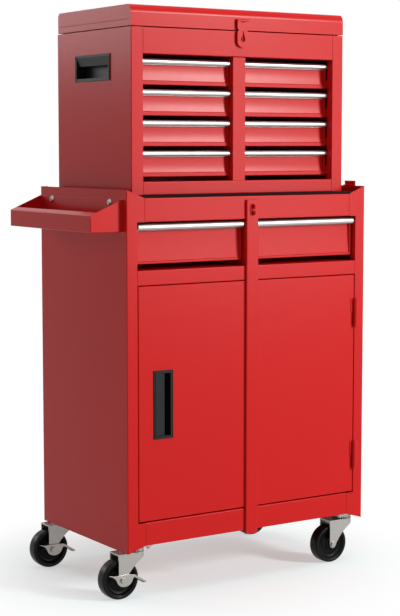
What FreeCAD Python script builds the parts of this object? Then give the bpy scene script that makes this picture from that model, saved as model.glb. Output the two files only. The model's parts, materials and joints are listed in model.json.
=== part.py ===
import FreeCAD, Part
import os
import re

import Sketcher

# Rolling tool cabinet with a top chest.
# The frame of the part has its origin under the middle of the whole object, on the floor, +Z up, the front
# towards -Y. Places below are first counted from the cabinet: x from its left side, y from its front, z from
# the floor. All sizes are millimetres.

SIZES = {
    # sheet steel and the clearances that pieces keep
    "sheet": 1.0,
    "bend_inside": 0.5,
    "seat_gap": 0.3,
    "turn_gap": 0.05,
    "sheet_joint": 0.6,
    # lower cabinet
    "cab_width": 548.0,
    "cab_depth": 331.0,
    "corner_low": 11.5,
    "corner_high": 15.0,
    "flange_width": 22.0,
    "flange_wide": 38.0,
    "flange_return": 15.4,
    "rear_flange": 15.0,
    "rail_lip": 18.0,
    "rail_drop": 0.5,
    "bottom_rail_height": 43.0,
    "door_opening_height": 440.5,
    "middle_rail_height": 27.0,
    "drawer_opening_height": 88.5,
    "top_rail_height": 43.5,
    "panel_lip": 12.0,
    "partition_width": 24.0,
    "mat_thick": 4.0,
    "mat_setback": 2.0,
    "mat_round": 1.5,
    # door with its recessed pull, hinges and centre bar
    "door_side_gap": 2.0,
    "door_bottom_gap": 2.5,
    "door_top_gap": 1.5,
    "door_thick": 16.0,
    "cup_length": 128.0,
    "cup_width": 42.0,
    "cup_hood": 26.0,
    "cup_inset": 31.6,
    "cup_rise": 151.7,
    "hinge_length": 57.0,
    "hinge_inset": 46.5,
    "hinge_barrel": 4.1,
    "hinge_stand": 4.4,
    "hinge_tab": 9.0,
    "hinge_sheet": 1.2,
    "hinge_pin": 2.0,
    "bar_width": 27.0,
    "bar_stand": 5.0,
    "bar_hang": 7.0,
    "bar_short": 7.0,
    "staple_sheet": 1.6,
    "staple_foot": 9.0,
    "bar_staple_height": 20.0,
    "bar_staple_reach": 14.0,
    "bar_staple_rise": 7.5,
    "staple_slot_gap": 1.1,
    "staple_hole": 3.2,
    "staple_hole_edge": 4.8,
    # recessed plastic pulls, on the door and on the chest sides
    "cup_proud": 2.0,
    "cup_wall": 1.6,
    "cup_rim": 3.0,
    "cup_lap": 4.0,
    "cup_deep": 21.0,
    "hood_slope": 5.0,
    # drawers of the lower cabinet
    "low_front_height": 74.0,
    "low_top_gap": 3.2,
    "low_side_gap": 3.5,
    "low_pull_height": 13.3,
    "low_pull_depth": 13.5,
    "low_fold": 4.2,
    "low_box_depth": 280.0,
    "low_front_y": 0.6,
    # what both kinds of drawer share
    "drawer_sheet": 0.8,
    "fold_proud": 4.0,
    "side_fold": 4.0,
    "pull_wall": 1.6,
    "pull_round": 2.2,
    "tray_inset": 3.0,
    "tray_lift": 2.0,
    "tray_drop": 9.0,
    "runner_ledge": 11.0,
    "runner_web": 16.0,
    "runner_lap": 8.0,
    # shelf tray on the left side
    "tray_reach": 67.0,
    "tray_front": 14.0,
    "tray_low": 61.0,
    "tray_wall": 31.0,
    "tray_back": 59.0,
    "tray_lip": 13.0,
    "screw_front": 45.4,
    "screw_rear": 49.2,
    "screw_drop": 6.4,
    "screw_head": 4.7,
    "screw_head_thick": 2.6,
    "screw_edge": 1.3,
    "screw_shank": 2.5,
    "nut_across": 4.6,
    "nut_thick": 4.0,
    # clip on the right side
    "clip_front": 30.5,
    "clip_length": 33.0,
    "clip_sheet": 1.2,
    "clip_inner": 6.5,
    "clip_outer": 22.0,
    "clip_ear": 9.2,
    # casters
    "caster_height": 100.0,
    "caster_inset": 28.5,
    "plate_size": 54.0,
    "plate_thick": 2.5,
    "plate_corner": 4.0,
    "bolt_inset": 7.0,
    "bolt_hole": 3.2,
    "race_radius": 19.0,
    "race_height": 10.5,
    "race_lower": 2.2,
    "race_edge": 3.5,
    "king_pin": 5.0,
    "king_head": 8.0,
    "fork_sheet": 2.5,
    "fork_front": 14.0,
    "fork_brow": 7.0,
    "fork_boss": 7.5,
    "trail": 34.0,
    "wheel_radius": 38.0,
    "wheel_width": 25.0,
    "wheel_side_gap": 2.0,
    "wheel_hub": 11.0,
    "wheel_rim": 29.0,
    "wheel_dish": 4.5,
    "wheel_edge": 2.5,
    "axle": 3.0,
    "axle_across": 5.5,
    "axle_head_thick": 3.0,
    "pedal_sheet": 2.0,
    "pedal_lobe": 19.0,
    "lobe_ahead": 5.0,
    "lobe_rise": 1.0,
    "pedal_left": 29.0,
    "pedal_left_rise": 12.5,
    "pedal_neck": 6.0,
    "pedal_neck_rise": 10.5,
    "pedal_brow": 26.0,
    "pedal_brow_rise": 3.0,
    "pedal_right": 50.0,
    "pedal_right_drop": 18.0,
    "pedal_tread": 7.0,
    "tread_thick": 3.5,
    # top chest
    "chest_inset": 31.0,
    "chest_depth": 280.0,
    "chest_height": 305.2,
    "chest_setback": 34.0,
    "stile_width": 25.0,
    "stile_return": 17.0,
    "chest_bottom_rail": 24.2,
    "chest_top_rail": 48.0,
    "post_width": 28.0,
    "post_setback": 7.3,
    "row_gap": 8.4,
    "top_front_height": 48.0,
    "top_top_gap": 7.1,
    "top_side_gap": 1.5,
    "top_pull_height": 11.5,
    "top_pull_depth": 11.0,
    "top_fold": 7.0,
    "top_box_depth": 235.0,
    "top_front_y": 13.0,
    "handle_length": 132.0,
    "handle_width": 49.5,
    "handle_hood": 20.5,
    "handle_top_drop": 45.0,
    "handle_front": 74.8,
    # lid, its hinge and the hasp
    "lid_gap": 1.6,
    "lid_height": 38.9,
    "lid_short": 3.0,
    "lid_front_round": 11.0,
    "lid_rear_round": 9.0,
    "lid_crease": 11.2,
    "crease_width": 1.0,
    "crease_deep": 0.5,
    "crease_end": 9.0,
    "lid_hinge_length": 430.0,
    "lid_knuckle": 3.2,
    "lid_pin": 1.5,
    "lid_leaf": 22.0,
    "lid_strap": 18.0,
    "hasp_width": 25.5,
    "hasp_length": 50.2,
    "hasp_sheet": 1.5,
    "hasp_stand": 4.1,
    "hasp_knuckle": 3.0,
    "hasp_pin": 1.4,
    "hasp_axis_drop": 21.0,
    "hasp_round": 12.0,
    "hasp_waist": 32.0,
    "waist_high": 6.0,
    "waist_deep": 3.5,
    "hasp_slot_low": 12.0,
    "hasp_slot_length": 17.6,
    "hasp_slot_width": 6.5,
    "hasp_slot_top": 2.4,
    "hasp_leaf_length": 15.0,
    "hasp_leaf_inset": 4.0,
    "hasp_staple_height": 17.0,
}

CHEST_ROWS = 4
HINGE_KNUCKLES = 5
FULL_TURN = 360.0
SAME_PLACE = 0.01

# Heights of the cabinet's openings and rails.
RAIL_LOW_Z = "(caster_height - rail_drop)"
SIDE_LOW_Z = f"({RAIL_LOW_Z} - corner_low)"
DOOR_HOLE_Z = f"({RAIL_LOW_Z} + bottom_rail_height)"
MIDDLE_RAIL_Z = f"({DOOR_HOLE_Z} + door_opening_height)"
DRAWER_HOLE_Z = f"({MIDDLE_RAIL_Z} + middle_rail_height)"
TOP_RAIL_Z = f"({DRAWER_HOLE_Z} + drawer_opening_height)"
CAB_TOP_Z = f"({TOP_RAIL_Z} + top_rail_height)"
SIDE_TOP_Z = f"({CAB_TOP_Z} + corner_high)"
SIDE_HEIGHT = f"({SIDE_TOP_Z} - {SIDE_LOW_Z})"
MIDDLE_X = "(cab_width / 2)"
BACK_Y = "(cab_depth - 2 * sheet)"
INNER_WIDTH = "(cab_width - 2 * sheet)"

# Door and centre bar.
DOOR_X = "(flange_width + door_side_gap)"
DOOR_Z = f"({DOOR_HOLE_Z} + door_bottom_gap)"
DOOR_WIDTH = f"(cab_width - 2 * {DOOR_X})"
DOOR_HEIGHT = "(door_opening_height - door_bottom_gap - door_top_gap)"
HINGE_X = "(cab_width - flange_width - door_side_gap / 2)"
BAR_Z = f"({RAIL_LOW_Z} - bar_hang)"
BAR_HEIGHT = f"({CAB_TOP_Z} - bar_short - {BAR_Z})"
BAR_FRONT = "(bar_stand + seat_gap)"
STAPLE_Z = f"({TOP_RAIL_Z} + bar_staple_rise)"

# Shelf tray, and the outside of a bend in sheet.
TRAY_Z = f"({CAB_TOP_Z} - tray_low)"
BEND = "(bend_inside + sheet)"

# Chest, lid and columns of drawers.
CHEST_X = "chest_inset"
CHEST_WIDTH = "(cab_width - 2 * chest_inset)"
CHEST_Z = f"({CAB_TOP_Z} + mat_thick + seat_gap)"
CHEST_HOLE_Z = f"({CHEST_Z} + chest_bottom_rail)"
CHEST_TOP_Z = f"({CHEST_Z} + chest_height)"
CHEST_HOLE_TOP = f"({CHEST_TOP_Z} - chest_top_rail)"
LID_Z = f"({CHEST_TOP_Z} + lid_gap)"
LID_DEPTH = "(chest_depth - lid_short)"
COLUMN_WIDTH = f"({CHEST_WIDTH} / 2 - stile_width - post_width / 2)"
LOW_COLUMN_WIDTH = "(cab_width / 2 - flange_width - partition_width / 2)"
LID_AXIS_Z = f"({CHEST_TOP_Z} + lid_gap / 2)"

# Carry handles' lower edge, from the chest's foot.
HANDLE_Z = "(chest_height - handle_top_drop - handle_width)"

# Hasp. Its own y starts at the front of its knuckles.
HASP_AXIS_Z = f"({LID_Z} + lid_height - hasp_axis_drop)"
HASP_LOW_Z = f"({HASP_AXIS_Z} - hasp_length)"
HASP_FRONT = "(2 * hasp_knuckle + seat_gap)"
HASP_STRAP_Y = f"{HASP_FRONT} - hasp_stand - hasp_sheet"
HASP_THIRD = "(hasp_width / 3)"

# Casters.
FORK_TOP_Z = "(caster_height - plate_thick - race_height - seat_gap)"
FORK_WIDTH = "(wheel_width + 2 * wheel_side_gap + 2 * fork_sheet)"
FORK_REACH = "(trail + fork_boss)"
PEDAL_ROOM = "(pedal_sheet + 2 * seat_gap)"

# The middle of the whole object, from the tray to the clip and from the bar's staple to the back.
MIDDLE_OF_ALL_X = "((cab_width + seat_gap + clip_sheet - tray_reach) / 2)"
MIDDLE_OF_ALL_Y = "((cab_depth - bar_staple_reach) / 2)"

doc = FreeCAD.newDocument("rolling_tool_cabinet")
dims = doc.addObject("Spreadsheet::Sheet", "dims")
sub_parts = {}
cut_features = []
sketch_planes = {}


def fill_sheet():
    """Writes every driving size into the sheet, with its name as alias."""
    for row, (name, size) in enumerate(SIZES.items(), start=1):
        dims.set(f"A{row}", name)
        dims.set(f"B{row}", str(size))
        dims.setAlias(f"B{row}", name)
    doc.recompute()


def bind(formula):
    """A plain formula of size names, as an expression of the document."""
    return re.sub(r"[a-z_]+", lambda word: f"dims.{word[0]}" if word[0] in SIZES else word[0], formula)


def amount(formula):
    """What a formula comes to with the sheet's sizes."""
    return float(dims.evalExpression(bind(formula)))


def new_body(name):
    return doc.addObject("PartDesign::Body", name)


def keep(item, label):
    """Names a finished sub-part, which is written under this label."""
    item.Label = label
    sub_parts[label] = item
    return item


def place(item, x, y, z, turn=None):
    """Puts an object at a point of the cabinet, counted in the frame of the part."""
    if turn is not None:
        item.Placement = FreeCAD.Placement(FreeCAD.Vector(), turn)
    item.setExpression("Placement.Base.x", bind(f"{x} - {MIDDLE_OF_ALL_X}"))
    item.setExpression("Placement.Base.y", bind(f"{y} - {MIDDLE_OF_ALL_Y}"))
    item.setExpression("Placement.Base.z", bind(z))


def new_sketch(body, plane, at):
    """A sketch in one of the body's own planes, moved along the plane's axis by at."""
    sketch = body.newObject("Sketcher::SketchObject", f"{body.Name}_sketch")
    support = [item for item in body.Origin.OriginFeatures if item.Role == f"{plane}_Plane"][0]
    sketch.AttachmentSupport = (support, [""])
    sketch.MapMode = "FlatFace"
    if at != "0":
        sign = "-" if plane == "XZ" else ""
        sketch.setExpression("AttachmentOffset.Base.z", bind(f"{sign}({at})"))
    sketch_planes[sketch.Name] = plane
    return sketch


def hold_point(sketch, edge, point, across, up):
    """Fixes one point of an edge by its distances from the sketch's origin."""
    for kind, formula, axis in (("DistanceX", across, -2), ("DistanceY", up, -1)):
        if formula == "0":
            sketch.addConstraint(Sketcher.Constraint("PointOnObject", edge, point, axis))
        else:
            distance = Sketcher.Constraint(kind, -1, 1, edge, point, amount(formula))
            number = sketch.addConstraint(distance)
            sketch.setExpression(f"Constraints[{number}]", bind(formula))


def outline(body, plane, points, at="0"):
    """A closed outline of straight edges through the points, each a pair of formulas."""
    sketch = new_sketch(body, plane, at)
    corners = [FreeCAD.Vector(amount(across), amount(up), 0) for across, up in points]
    count = len(corners)
    for index in range(count):
        sketch.addGeometry(Part.LineSegment(corners[index], corners[(index + 1) % count]))
    for index in range(count):
        sketch.addConstraint(Sketcher.Constraint("Coincident", index, 2, (index + 1) % count, 1))
    for index, (across, up) in enumerate(points):
        hold_point(sketch, index, 1, across, up)
    return sketch


def rectangle(body, plane, left, bottom, right, top, at="0"):
    return outline(body, plane, [(left, bottom), (right, bottom), (right, top), (left, top)], at)


def circles(body, plane, centres, radius, at="0"):
    """Circles of one radius about each centre, a pair of formulas."""
    sketch = new_sketch(body, plane, at)
    for index, (across, up) in enumerate(centres):
        centre = FreeCAD.Vector(amount(across), amount(up), 0)
        sketch.addGeometry(Part.Circle(centre, FreeCAD.Vector(0, 0, 1), amount(radius)))
        hold_point(sketch, index, 3, across, up)
        number = sketch.addConstraint(Sketcher.Constraint("Radius", index, amount(radius)))
        sketch.setExpression(f"Constraints[{number}]", bind(radius))
    return sketch


def hexagon(body, plane, across, up, radius, at="0"):
    """A hexagon about a centre, its corners at the radius."""
    sixth = FULL_TURN / 6
    points = []
    for corner in range(6):
        angle = corner * sixth
        points.append((f"{across} + {radius} * cos({angle})", f"{up} + {radius} * sin({angle})"))
    return outline(body, plane, points, at)


def pad(body, sketch, length, towards=1):
    """Thickens a sketch along the positive or negative axis of its plane."""
    feature = body.newObject("PartDesign::Pad", f"{body.Name}_pad")
    feature.Profile = sketch
    feature.setExpression("Length", bind(length))
    facing = -1 if sketch_planes[sketch.Name] == "XZ" else 1
    feature.Reversed = facing * towards < 0
    return feature


def cut(body, sketch, length, towards=1):
    """Cuts a sketch away along the positive or negative axis of its plane."""
    feature = body.newObject("PartDesign::Pocket", f"{body.Name}_cut")
    feature.Profile = sketch
    feature.setExpression("Length", bind(length))
    facing = -1 if sketch_planes[sketch.Name] == "XZ" else 1
    feature.Reversed = facing * towards > 0
    cut_features.append(feature)
    return feature


def work_edges(body, kind, number, size, chosen):
    """Adds a feature of this kind, a fillet or chamfer, on the edges so far for which chosen says yes."""
    doc.recompute()
    base = body.Tip
    names = [f"Edge{place}" for place, edge in enumerate(base.Shape.Edges, 1) if chosen(edge)]
    feature = body.newObject(f"PartDesign::{kind}", f"{body.Name}_{kind.lower()}")
    feature.Base = (base, names)
    feature.setExpression(number, bind(size))


def round_edges(body, radius, chosen):
    work_edges(body, "Fillet", "Radius", radius, chosen)


def bevel_edges(body, size, chosen):
    work_edges(body, "Chamfer", "Size", size, chosen)


def same(one, other):
    return abs(one - other) < SAME_PLACE


def lies_at(edge, **places):
    """Whether a straight edge runs where its x, y or z is as given, from end to end."""
    ends = [vertex.Point for vertex in edge.Vertexes]
    return len(ends) == 2 and all(same(getattr(end, axis), at) for end in ends for axis, at in places.items())


def is_circle(edge, radius, **places):
    """Whether an edge is a circle of this radius with its centre's x, y or z as given."""
    curve = edge.Curve
    if not isinstance(curve, Part.Circle) or not same(curve.Radius, radius):
        return False
    return all(same(getattr(curve.Center, axis), at) for axis, at in places.items())


def bend(body, lines, radius=BEND):
    """Rounds the bends that run along these lines, each given by formulas for its x, y or z."""
    spots = [{axis: amount(at) for axis, at in line.items()} for line in lines]
    round_edges(body, radius, lambda edge: any(lies_at(edge, **spot) for spot in spots))


def group(label, items):
    """Separate solids that share one node."""
    compound = doc.addObject("Part::Compound", f"{label}_group")
    compound.Links = items
    return keep(compound, label)


# Lower cabinet


def side_sheet(name):
    """Left side: outer panel, front flange with its return, rear flange, hemmed top."""
    body = new_body(name)
    plan = [
        ("0", "0"),
        ("flange_wide", "0"),
        ("flange_wide", "sheet"),
        ("sheet", "sheet"),
        ("sheet", "cab_depth - sheet"),
        ("rear_flange", "cab_depth - sheet"),
        ("rear_flange", "cab_depth"),
        ("0", "cab_depth"),
    ]
    pad(body, outline(body, "XY", plan), SIDE_HEIGHT)
    bend(body, [dict(x="0", y="0"), dict(x="0", y="cab_depth")])
    notch_low = "corner_low + bottom_rail_height"
    notch_high = f"{TOP_RAIL_Z} - {SIDE_LOW_Z}"
    notch = rectangle(body, "XZ", "flange_width", notch_low, "flange_wide", notch_high)
    cut(body, notch, "sheet")
    low_corner = [("0", "0"), ("flange_wide", "0"), ("flange_wide", "corner_low")]
    cut(body, outline(body, "XZ", low_corner), "sheet")
    shoulder = f"{SIDE_HEIGHT} - corner_high"
    high_corner = [("0", SIDE_HEIGHT), ("flange_wide", shoulder), ("flange_wide", SIDE_HEIGHT)]
    cut(body, outline(body, "XZ", high_corner), "sheet")
    inner = "flange_width - sheet"
    inner_edge = rectangle(body, "XY", inner, "sheet / 2", "flange_width", "flange_return", notch_low)
    pad(body, inner_edge, f"{notch_high} - ({notch_low})")
    hem_low = f"{CAB_TOP_Z} + mat_thick + seat_gap - {SIDE_LOW_Z}"
    hem = rectangle(body, "XY", "sheet / 2", "sheet / 2", "2 * sheet", "cab_depth - sheet / 2", hem_low)
    pad(body, hem, f"{SIDE_HEIGHT} - ({hem_low})")
    return body


def cabinet_sides():
    """The two sides; the left one has the two holes of the shelf tray's screws."""
    left = side_sheet("left_side")
    centres = tray_screw_places("0", SIDE_LOW_Z)
    cut(left, circles(left, "YZ", centres, "screw_shank + turn_gap"), "sheet")
    place(left, "0", "0", SIDE_LOW_Z)
    keep(left, "cabinet_left_side")
    plain = side_sheet("plain_side")
    place(plain, "0", "0", SIDE_LOW_Z)
    right = doc.addObject("Part::Mirroring", "right_side")
    right.Source = plain
    right.Normal = (1, 0, 0)
    right.setExpression("Base.x", bind(f"{MIDDLE_X} - {MIDDLE_OF_ALL_X}"))
    keep(right, "cabinet_right_side")


def tray_screw_places(from_y, from_z):
    """Where the tray's two screws go, along y and z from a given point."""
    rail_z = f"{TRAY_Z} + tray_back - screw_drop - {from_z}"
    front = (f"tray_front + screw_front - {from_y}", rail_z)
    rear = (f"cab_depth - screw_rear - {from_y}", rail_z)
    return [front, rear]


def channel_rail(label, left, length, front, bottom, height, both_lips):
    """A rail bent from sheet: face to the front, a lip back at the top and, for most, at the bottom."""
    body = new_body(label)
    if both_lips:
        foot = [("0", "0"), ("rail_lip", "0"), ("rail_lip", "sheet"), ("sheet", "sheet")]
    else:
        foot = [("0", "0"), ("sheet", "0")]
    under = f"{height} - sheet"
    head = [("sheet", under), ("rail_lip", under), ("rail_lip", height), ("0", height)]
    pad(body, outline(body, "YZ", foot + head), length)
    bends = [dict(y="0", z=height)]
    if both_lips:
        bends.append(dict(y="0", z="0"))
    bend(body, bends)
    place(body, left, front, bottom)
    keep(body, label)


def cabinet_rails():
    left = "flange_wide + sheet_joint"
    wide = f"cab_width - 2 * ({left})"
    channel_rail("top_rail", left, wide, "0", TOP_RAIL_Z, "top_rail_height", True)
    channel_rail("bottom_rail", left, wide, "0", RAIL_LOW_Z, "bottom_rail_height", False)
    left = "flange_width + sheet_joint"
    narrow = f"cab_width - 2 * ({left})"
    channel_rail("middle_rail", left, narrow, "0", MIDDLE_RAIL_Z, "middle_rail_height", True)


def lipped_panel(label, top):
    """A level panel behind a rail, with a lip down at the front and one at the back."""
    body = new_body(label)
    run = f"({BACK_Y} - rail_lip)"
    section = [
        ("0", "0"),
        ("sheet", "0"),
        ("sheet", "panel_lip - sheet"),
        (f"{run} - sheet", "panel_lip - sheet"),
        (f"{run} - sheet", "0"),
        (run, "0"),
        (run, "panel_lip"),
        ("0", "panel_lip"),
    ]
    pad(body, outline(body, "YZ", section), INNER_WIDTH)
    bend(body, [dict(y="0", z="panel_lip"), dict(y=run, z="panel_lip")])
    place(body, "sheet", "rail_lip", f"{top} - panel_lip")
    keep(body, label)


def cabinet_back():
    body = new_body("back_sheet")
    height = f"{CAB_TOP_Z} - caster_height"
    pad(body, rectangle(body, "XZ", "0", "0", INNER_WIDTH, height), "sheet")
    place(body, "sheet", BACK_Y, "caster_height")
    keep(body, "cabinet_back")


def caster_corners():
    """The four swivel axes, from the cabinet's left front corner."""
    near = "caster_inset"
    return [
        ("front_left", near, near),
        ("front_right", f"cab_width - {near}", near),
        ("rear_left", near, f"cab_depth - {near}"),
        ("rear_right", f"cab_width - {near}", f"cab_depth - {near}"),
    ]


def cabinet_floor():
    """Floor pan with its edges turned up."""
    body = new_body("floor_pan")
    depth = f"({BACK_Y} - sheet)"
    pad(body, rectangle(body, "XY", "0", "0", INNER_WIDTH, depth), "panel_lip")
    well = rectangle(body, "XY", "sheet", "sheet", f"{INNER_WIDTH} - sheet", f"{depth} - sheet", "sheet")
    cut(body, well, "panel_lip - sheet")
    place(body, "sheet", "sheet", "caster_height")
    keep(body, "cabinet_floor")


def channel_post(label, x, y, z, width, depth, height):
    """An upright channel, open to the rear, that carries drawer runners on both sides."""
    body = new_body(label)
    plan = [
        ("0", "0"),
        (width, "0"),
        (width, depth),
        (f"{width} - sheet", depth),
        (f"{width} - sheet", "sheet"),
        ("sheet", "sheet"),
        ("sheet", depth),
        ("0", depth),
    ]
    pad(body, outline(body, "XY", plan), height)
    place(body, x, y, z)
    keep(body, label)


def top_mat():
    body = new_body("mat")
    width = f"{INNER_WIDTH} - 2 * seat_gap"
    depth = "cab_depth - sheet - seat_gap - mat_setback"
    pad(body, rectangle(body, "XY", "0", "0", width, depth), "mat_thick")
    bend(body, [dict(z="mat_thick")], "mat_round")
    place(body, "sheet + seat_gap", "mat_setback", CAB_TOP_Z)
    keep(body, "top_mat")


def bar_staple():
    """Padlock staple on the top rail: a foot on the rail and a holed tab through the bar's slot."""
    body = new_body("rail_staple")
    reach = "bar_staple_reach"
    thick = "staple_sheet"
    plan = [
        ("0", f"{reach} - {thick}"),
        ("staple_foot", f"{reach} - {thick}"),
        ("staple_foot", "0"),
        (f"staple_foot + {thick}", "0"),
        (f"staple_foot + {thick}", reach),
        ("0", reach),
    ]
    pad(body, outline(body, "XY", plan), "bar_staple_height")
    hole = circles(body, "YZ", [("staple_hole_edge", "bar_staple_height / 2")], "staple_hole")
    cut(body, hole, f"staple_foot + {thick}")
    short = amount(thick) + SAME_PLACE
    round_edges(body, "staple_hole", lambda edge: lies_at(edge, y=0) and edge.Length < short)
    place(body, f"{MIDDLE_X} - staple_foot - {thick} / 2", f"-{reach}", STAPLE_Z)
    keep(body, "bar_staple")


def shelf_tray():
    """Tray on the left side: floor, back plate, sloped ends, outer wall with its top folded inwards."""
    body = new_body("tray")
    length = "(cab_depth - tray_front)"
    end = [("0", "0"), ("tray_reach", "0"), ("tray_reach", "tray_back"), ("0", "tray_wall")]
    pad(body, outline(body, "XZ", end), length)
    inside = rectangle(body, "XZ", "sheet", "sheet", "tray_reach - sheet", "tray_back", "sheet")
    cut(body, inside, f"{length} - 2 * sheet")
    rise = "tray_lip * (tray_back - tray_wall) / tray_reach"
    lip = [
        ("0", "tray_wall - sheet"),
        ("tray_lip", f"tray_wall + {rise} - sheet"),
        ("tray_lip", f"tray_wall + {rise}"),
        ("0", "tray_wall"),
    ]
    pad(body, outline(body, "XZ", lip, "sheet / 2"), f"{length} - sheet")
    folds = [dict(x="0", z="0"), dict(x="0", z="tray_wall")]
    for end_y in ("0", length):
        folds += [dict(x="0", y=end_y), dict(y=end_y, z="0")]
    bend(body, folds)
    centres = tray_screw_places("tray_front", TRAY_Z)
    cut(body, circles(body, "YZ", centres, "screw_shank + turn_gap", "tray_reach - sheet"), "sheet")
    place(body, "-tray_reach", "tray_front", TRAY_Z)
    keep(body, "side_tray")


def tray_screw(number, y, z):
    """One pan-head screw through the tray's back and the cabinet side, with its nut inside."""
    body = new_body(f"tray_screw_{number}")
    centre = [("screw_head", "screw_head")]
    pad(body, circles(body, "YZ", centre, "screw_head"), "screw_head_thick")
    grip = "screw_head_thick + 2 * sheet"
    pad(body, circles(body, "YZ", centre, "screw_shank"), f"{grip} + nut_thick + sheet")
    pad(body, hexagon(body, "YZ", "screw_head", "screw_head", "nut_across", grip), "nut_thick")
    rim = amount("screw_head")
    bevel_edges(body, "screw_edge", lambda edge: is_circle(edge, rim, x=0))
    place(body, "-sheet - screw_head_thick", f"{y} - screw_head", f"{z} - screw_head")
    return body


def cabinet_screws():
    """The two screws that hold the shelf tray."""
    places = enumerate(tray_screw_places("0", "0"), 1)
    group("cabinet_screws", [tray_screw(number, y, z) for number, (y, z) in places])


def side_clip():
    """Bent clip that saddles the right side's hemmed top edge and stands up beside it as an ear."""
    body = new_body("clip")
    saddle = "clip_inner + clip_sheet"
    across = "(2 * clip_sheet + 2 * seat_gap + 2 * sheet)"
    drop = "clip_outer - clip_inner"
    section = [
        ("0", drop),
        ("clip_sheet", drop),
        ("clip_sheet", f"{drop} + clip_inner"),
        (f"{across} - clip_sheet", f"{drop} + clip_inner"),
        (f"{across} - clip_sheet", "0"),
        (across, "0"),
        (across, "clip_outer + clip_ear"),
        (f"{across} - clip_sheet", "clip_outer + clip_ear"),
        (f"{across} - clip_sheet", f"{drop} + {saddle}"),
        ("0", f"{drop} + {saddle}"),
    ]
    pad(body, outline(body, "XZ", section), "clip_length")
    left = f"cab_width + seat_gap + clip_sheet - {across}"
    place(body, left, "clip_front", f"{SIDE_TOP_Z} + seat_gap - clip_outer")
    keep(body, "right_side_clip")


# Door


def recessed_pull(name, length, width, hood):
    """Moulded pull set into a sheet: a rim on the sheet, a sloping hood and a pocket that runs behind it.

    Across the pull is x, from the hood to the mouth. Into the sheet is y, its outer face at cup_proud.
    """
    body = new_body(name)
    pad(body, rectangle(body, "XZ", "0", "0", width, length), "cup_proud")
    far = (f"{width} - cup_lap", f"{length} - cup_lap")
    shell = rectangle(body, "XZ", "cup_lap", "cup_lap", *far, "cup_proud / 2")
    pad(body, shell, "cup_proud / 2 + cup_deep")
    inner = "(cup_lap + cup_wall)"
    deep = "cup_proud + cup_deep - cup_wall"
    hollow = [
        ("cup_rim", "0"),
        (hood, "hood_slope"),
        (hood, "hood_slope + cup_wall"),
        (inner, f"hood_slope + cup_wall - ({hood} - {inner}) * hood_slope / ({hood} - cup_rim)"),
        (inner, deep),
        (f"{width} - {inner}", deep),
        (f"{width} - {inner}", "0"),
    ]
    cut(body, outline(body, "XY", hollow, inner), f"{length} - 2 * {inner}")
    rim = [dict(x="0", y="0"), dict(x=width, y="0"), dict(y="0", z="0"), dict(y="0", z=length)]
    bend(body, rim, "cup_proud / 2")
    return body


def pull_hole(body, plane, across, up, width, height):
    """The hole in a sheet for a recessed pull whose rim covers width by height from this corner."""
    lap = "(cup_lap - seat_gap)"
    far = (f"{across} + {width} - {lap}", f"{up} + {height} - {lap}")
    return rectangle(body, plane, f"{across} + {lap}", f"{up} + {lap}", *far)


def door_panel():
    """Door pan: face with four edges turned back, and the opening for its recessed pull."""
    body = new_body("door_pan")
    pad(body, rectangle(body, "XZ", "0", "0", DOOR_WIDTH, DOOR_HEIGHT), "door_thick")
    far = (f"{DOOR_WIDTH} - sheet", f"{DOOR_HEIGHT} - sheet")
    cut(body, rectangle(body, "XZ", "sheet", "sheet", *far, "sheet"), "door_thick - sheet")
    cut(body, pull_hole(body, "XZ", "cup_inset", "cup_rise", "cup_width", "cup_length"), "sheet")
    sides = [dict(x=x, y="0") for x in ("0", DOOR_WIDTH)]
    bend(body, sides + [dict(y="0", z=z) for z in ("0", DOOR_HEIGHT)])
    place(body, DOOR_X, "0", DOOR_Z)
    keep(body, "door_panel")


def door_cup():
    cup = recessed_pull("cup", "cup_length", "cup_width", "cup_hood")
    place(cup, f"{DOOR_X} + cup_inset", "-cup_proud", f"{DOOR_Z} + cup_rise")
    keep(cup, "door_cup")


def lock_bar():
    """Centre bar: a shallow channel on the door that also covers the drawers' inner ends."""
    body = new_body("bar")
    plan = [
        ("0", "0"),
        ("bar_width", "0"),
        ("bar_width", "bar_stand"),
        ("bar_width - sheet", "bar_stand"),
        ("bar_width - sheet", "sheet"),
        ("sheet", "sheet"),
        ("sheet", "bar_stand"),
        ("0", "bar_stand"),
    ]
    pad(body, outline(body, "XY", plan), BAR_HEIGHT)
    half = "(staple_sheet / 2 + staple_slot_gap)"
    low = f"{STAPLE_Z} - {BAR_Z} - staple_slot_gap"
    high = f"{STAPLE_Z} - {BAR_Z} + bar_staple_height + staple_slot_gap"
    slot = rectangle(body, "XZ", f"bar_width / 2 - {half}", low, f"bar_width / 2 + {half}", high)
    cut(body, slot, "sheet")
    bend(body, [dict(x="0", y="0"), dict(x="bar_width", y="0")])
    place(body, f"{MIDDLE_X} - bar_width / 2", f"-{BAR_FRONT}", BAR_Z)
    keep(body, "lock_bar")


def hinge_half(name, is_fixed):
    """Half of a lift-off hinge: barrel and tab, with the pin on the fixed half and the bore on the other."""
    body = new_body(name)
    height = "(hinge_length / 2 - seat_gap / 2)"
    centre = [("hinge_tab", "hinge_barrel")]
    pad(body, circles(body, "XY", centre, "hinge_barrel"), height)
    face = "(hinge_barrel + hinge_stand)"
    ends = ("hinge_tab", "2 * hinge_tab") if is_fixed else ("0", "hinge_tab")
    tab = rectangle(body, "XY", ends[0], f"{face} - hinge_sheet", ends[1], face)
    pad(body, tab, height)
    if is_fixed:
        pad(body, circles(body, "XY", centre, "hinge_pin"), "hinge_length - hinge_sheet")
    else:
        cut(body, circles(body, "XY", centre, "hinge_pin + turn_gap"), height)
    return body


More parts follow.
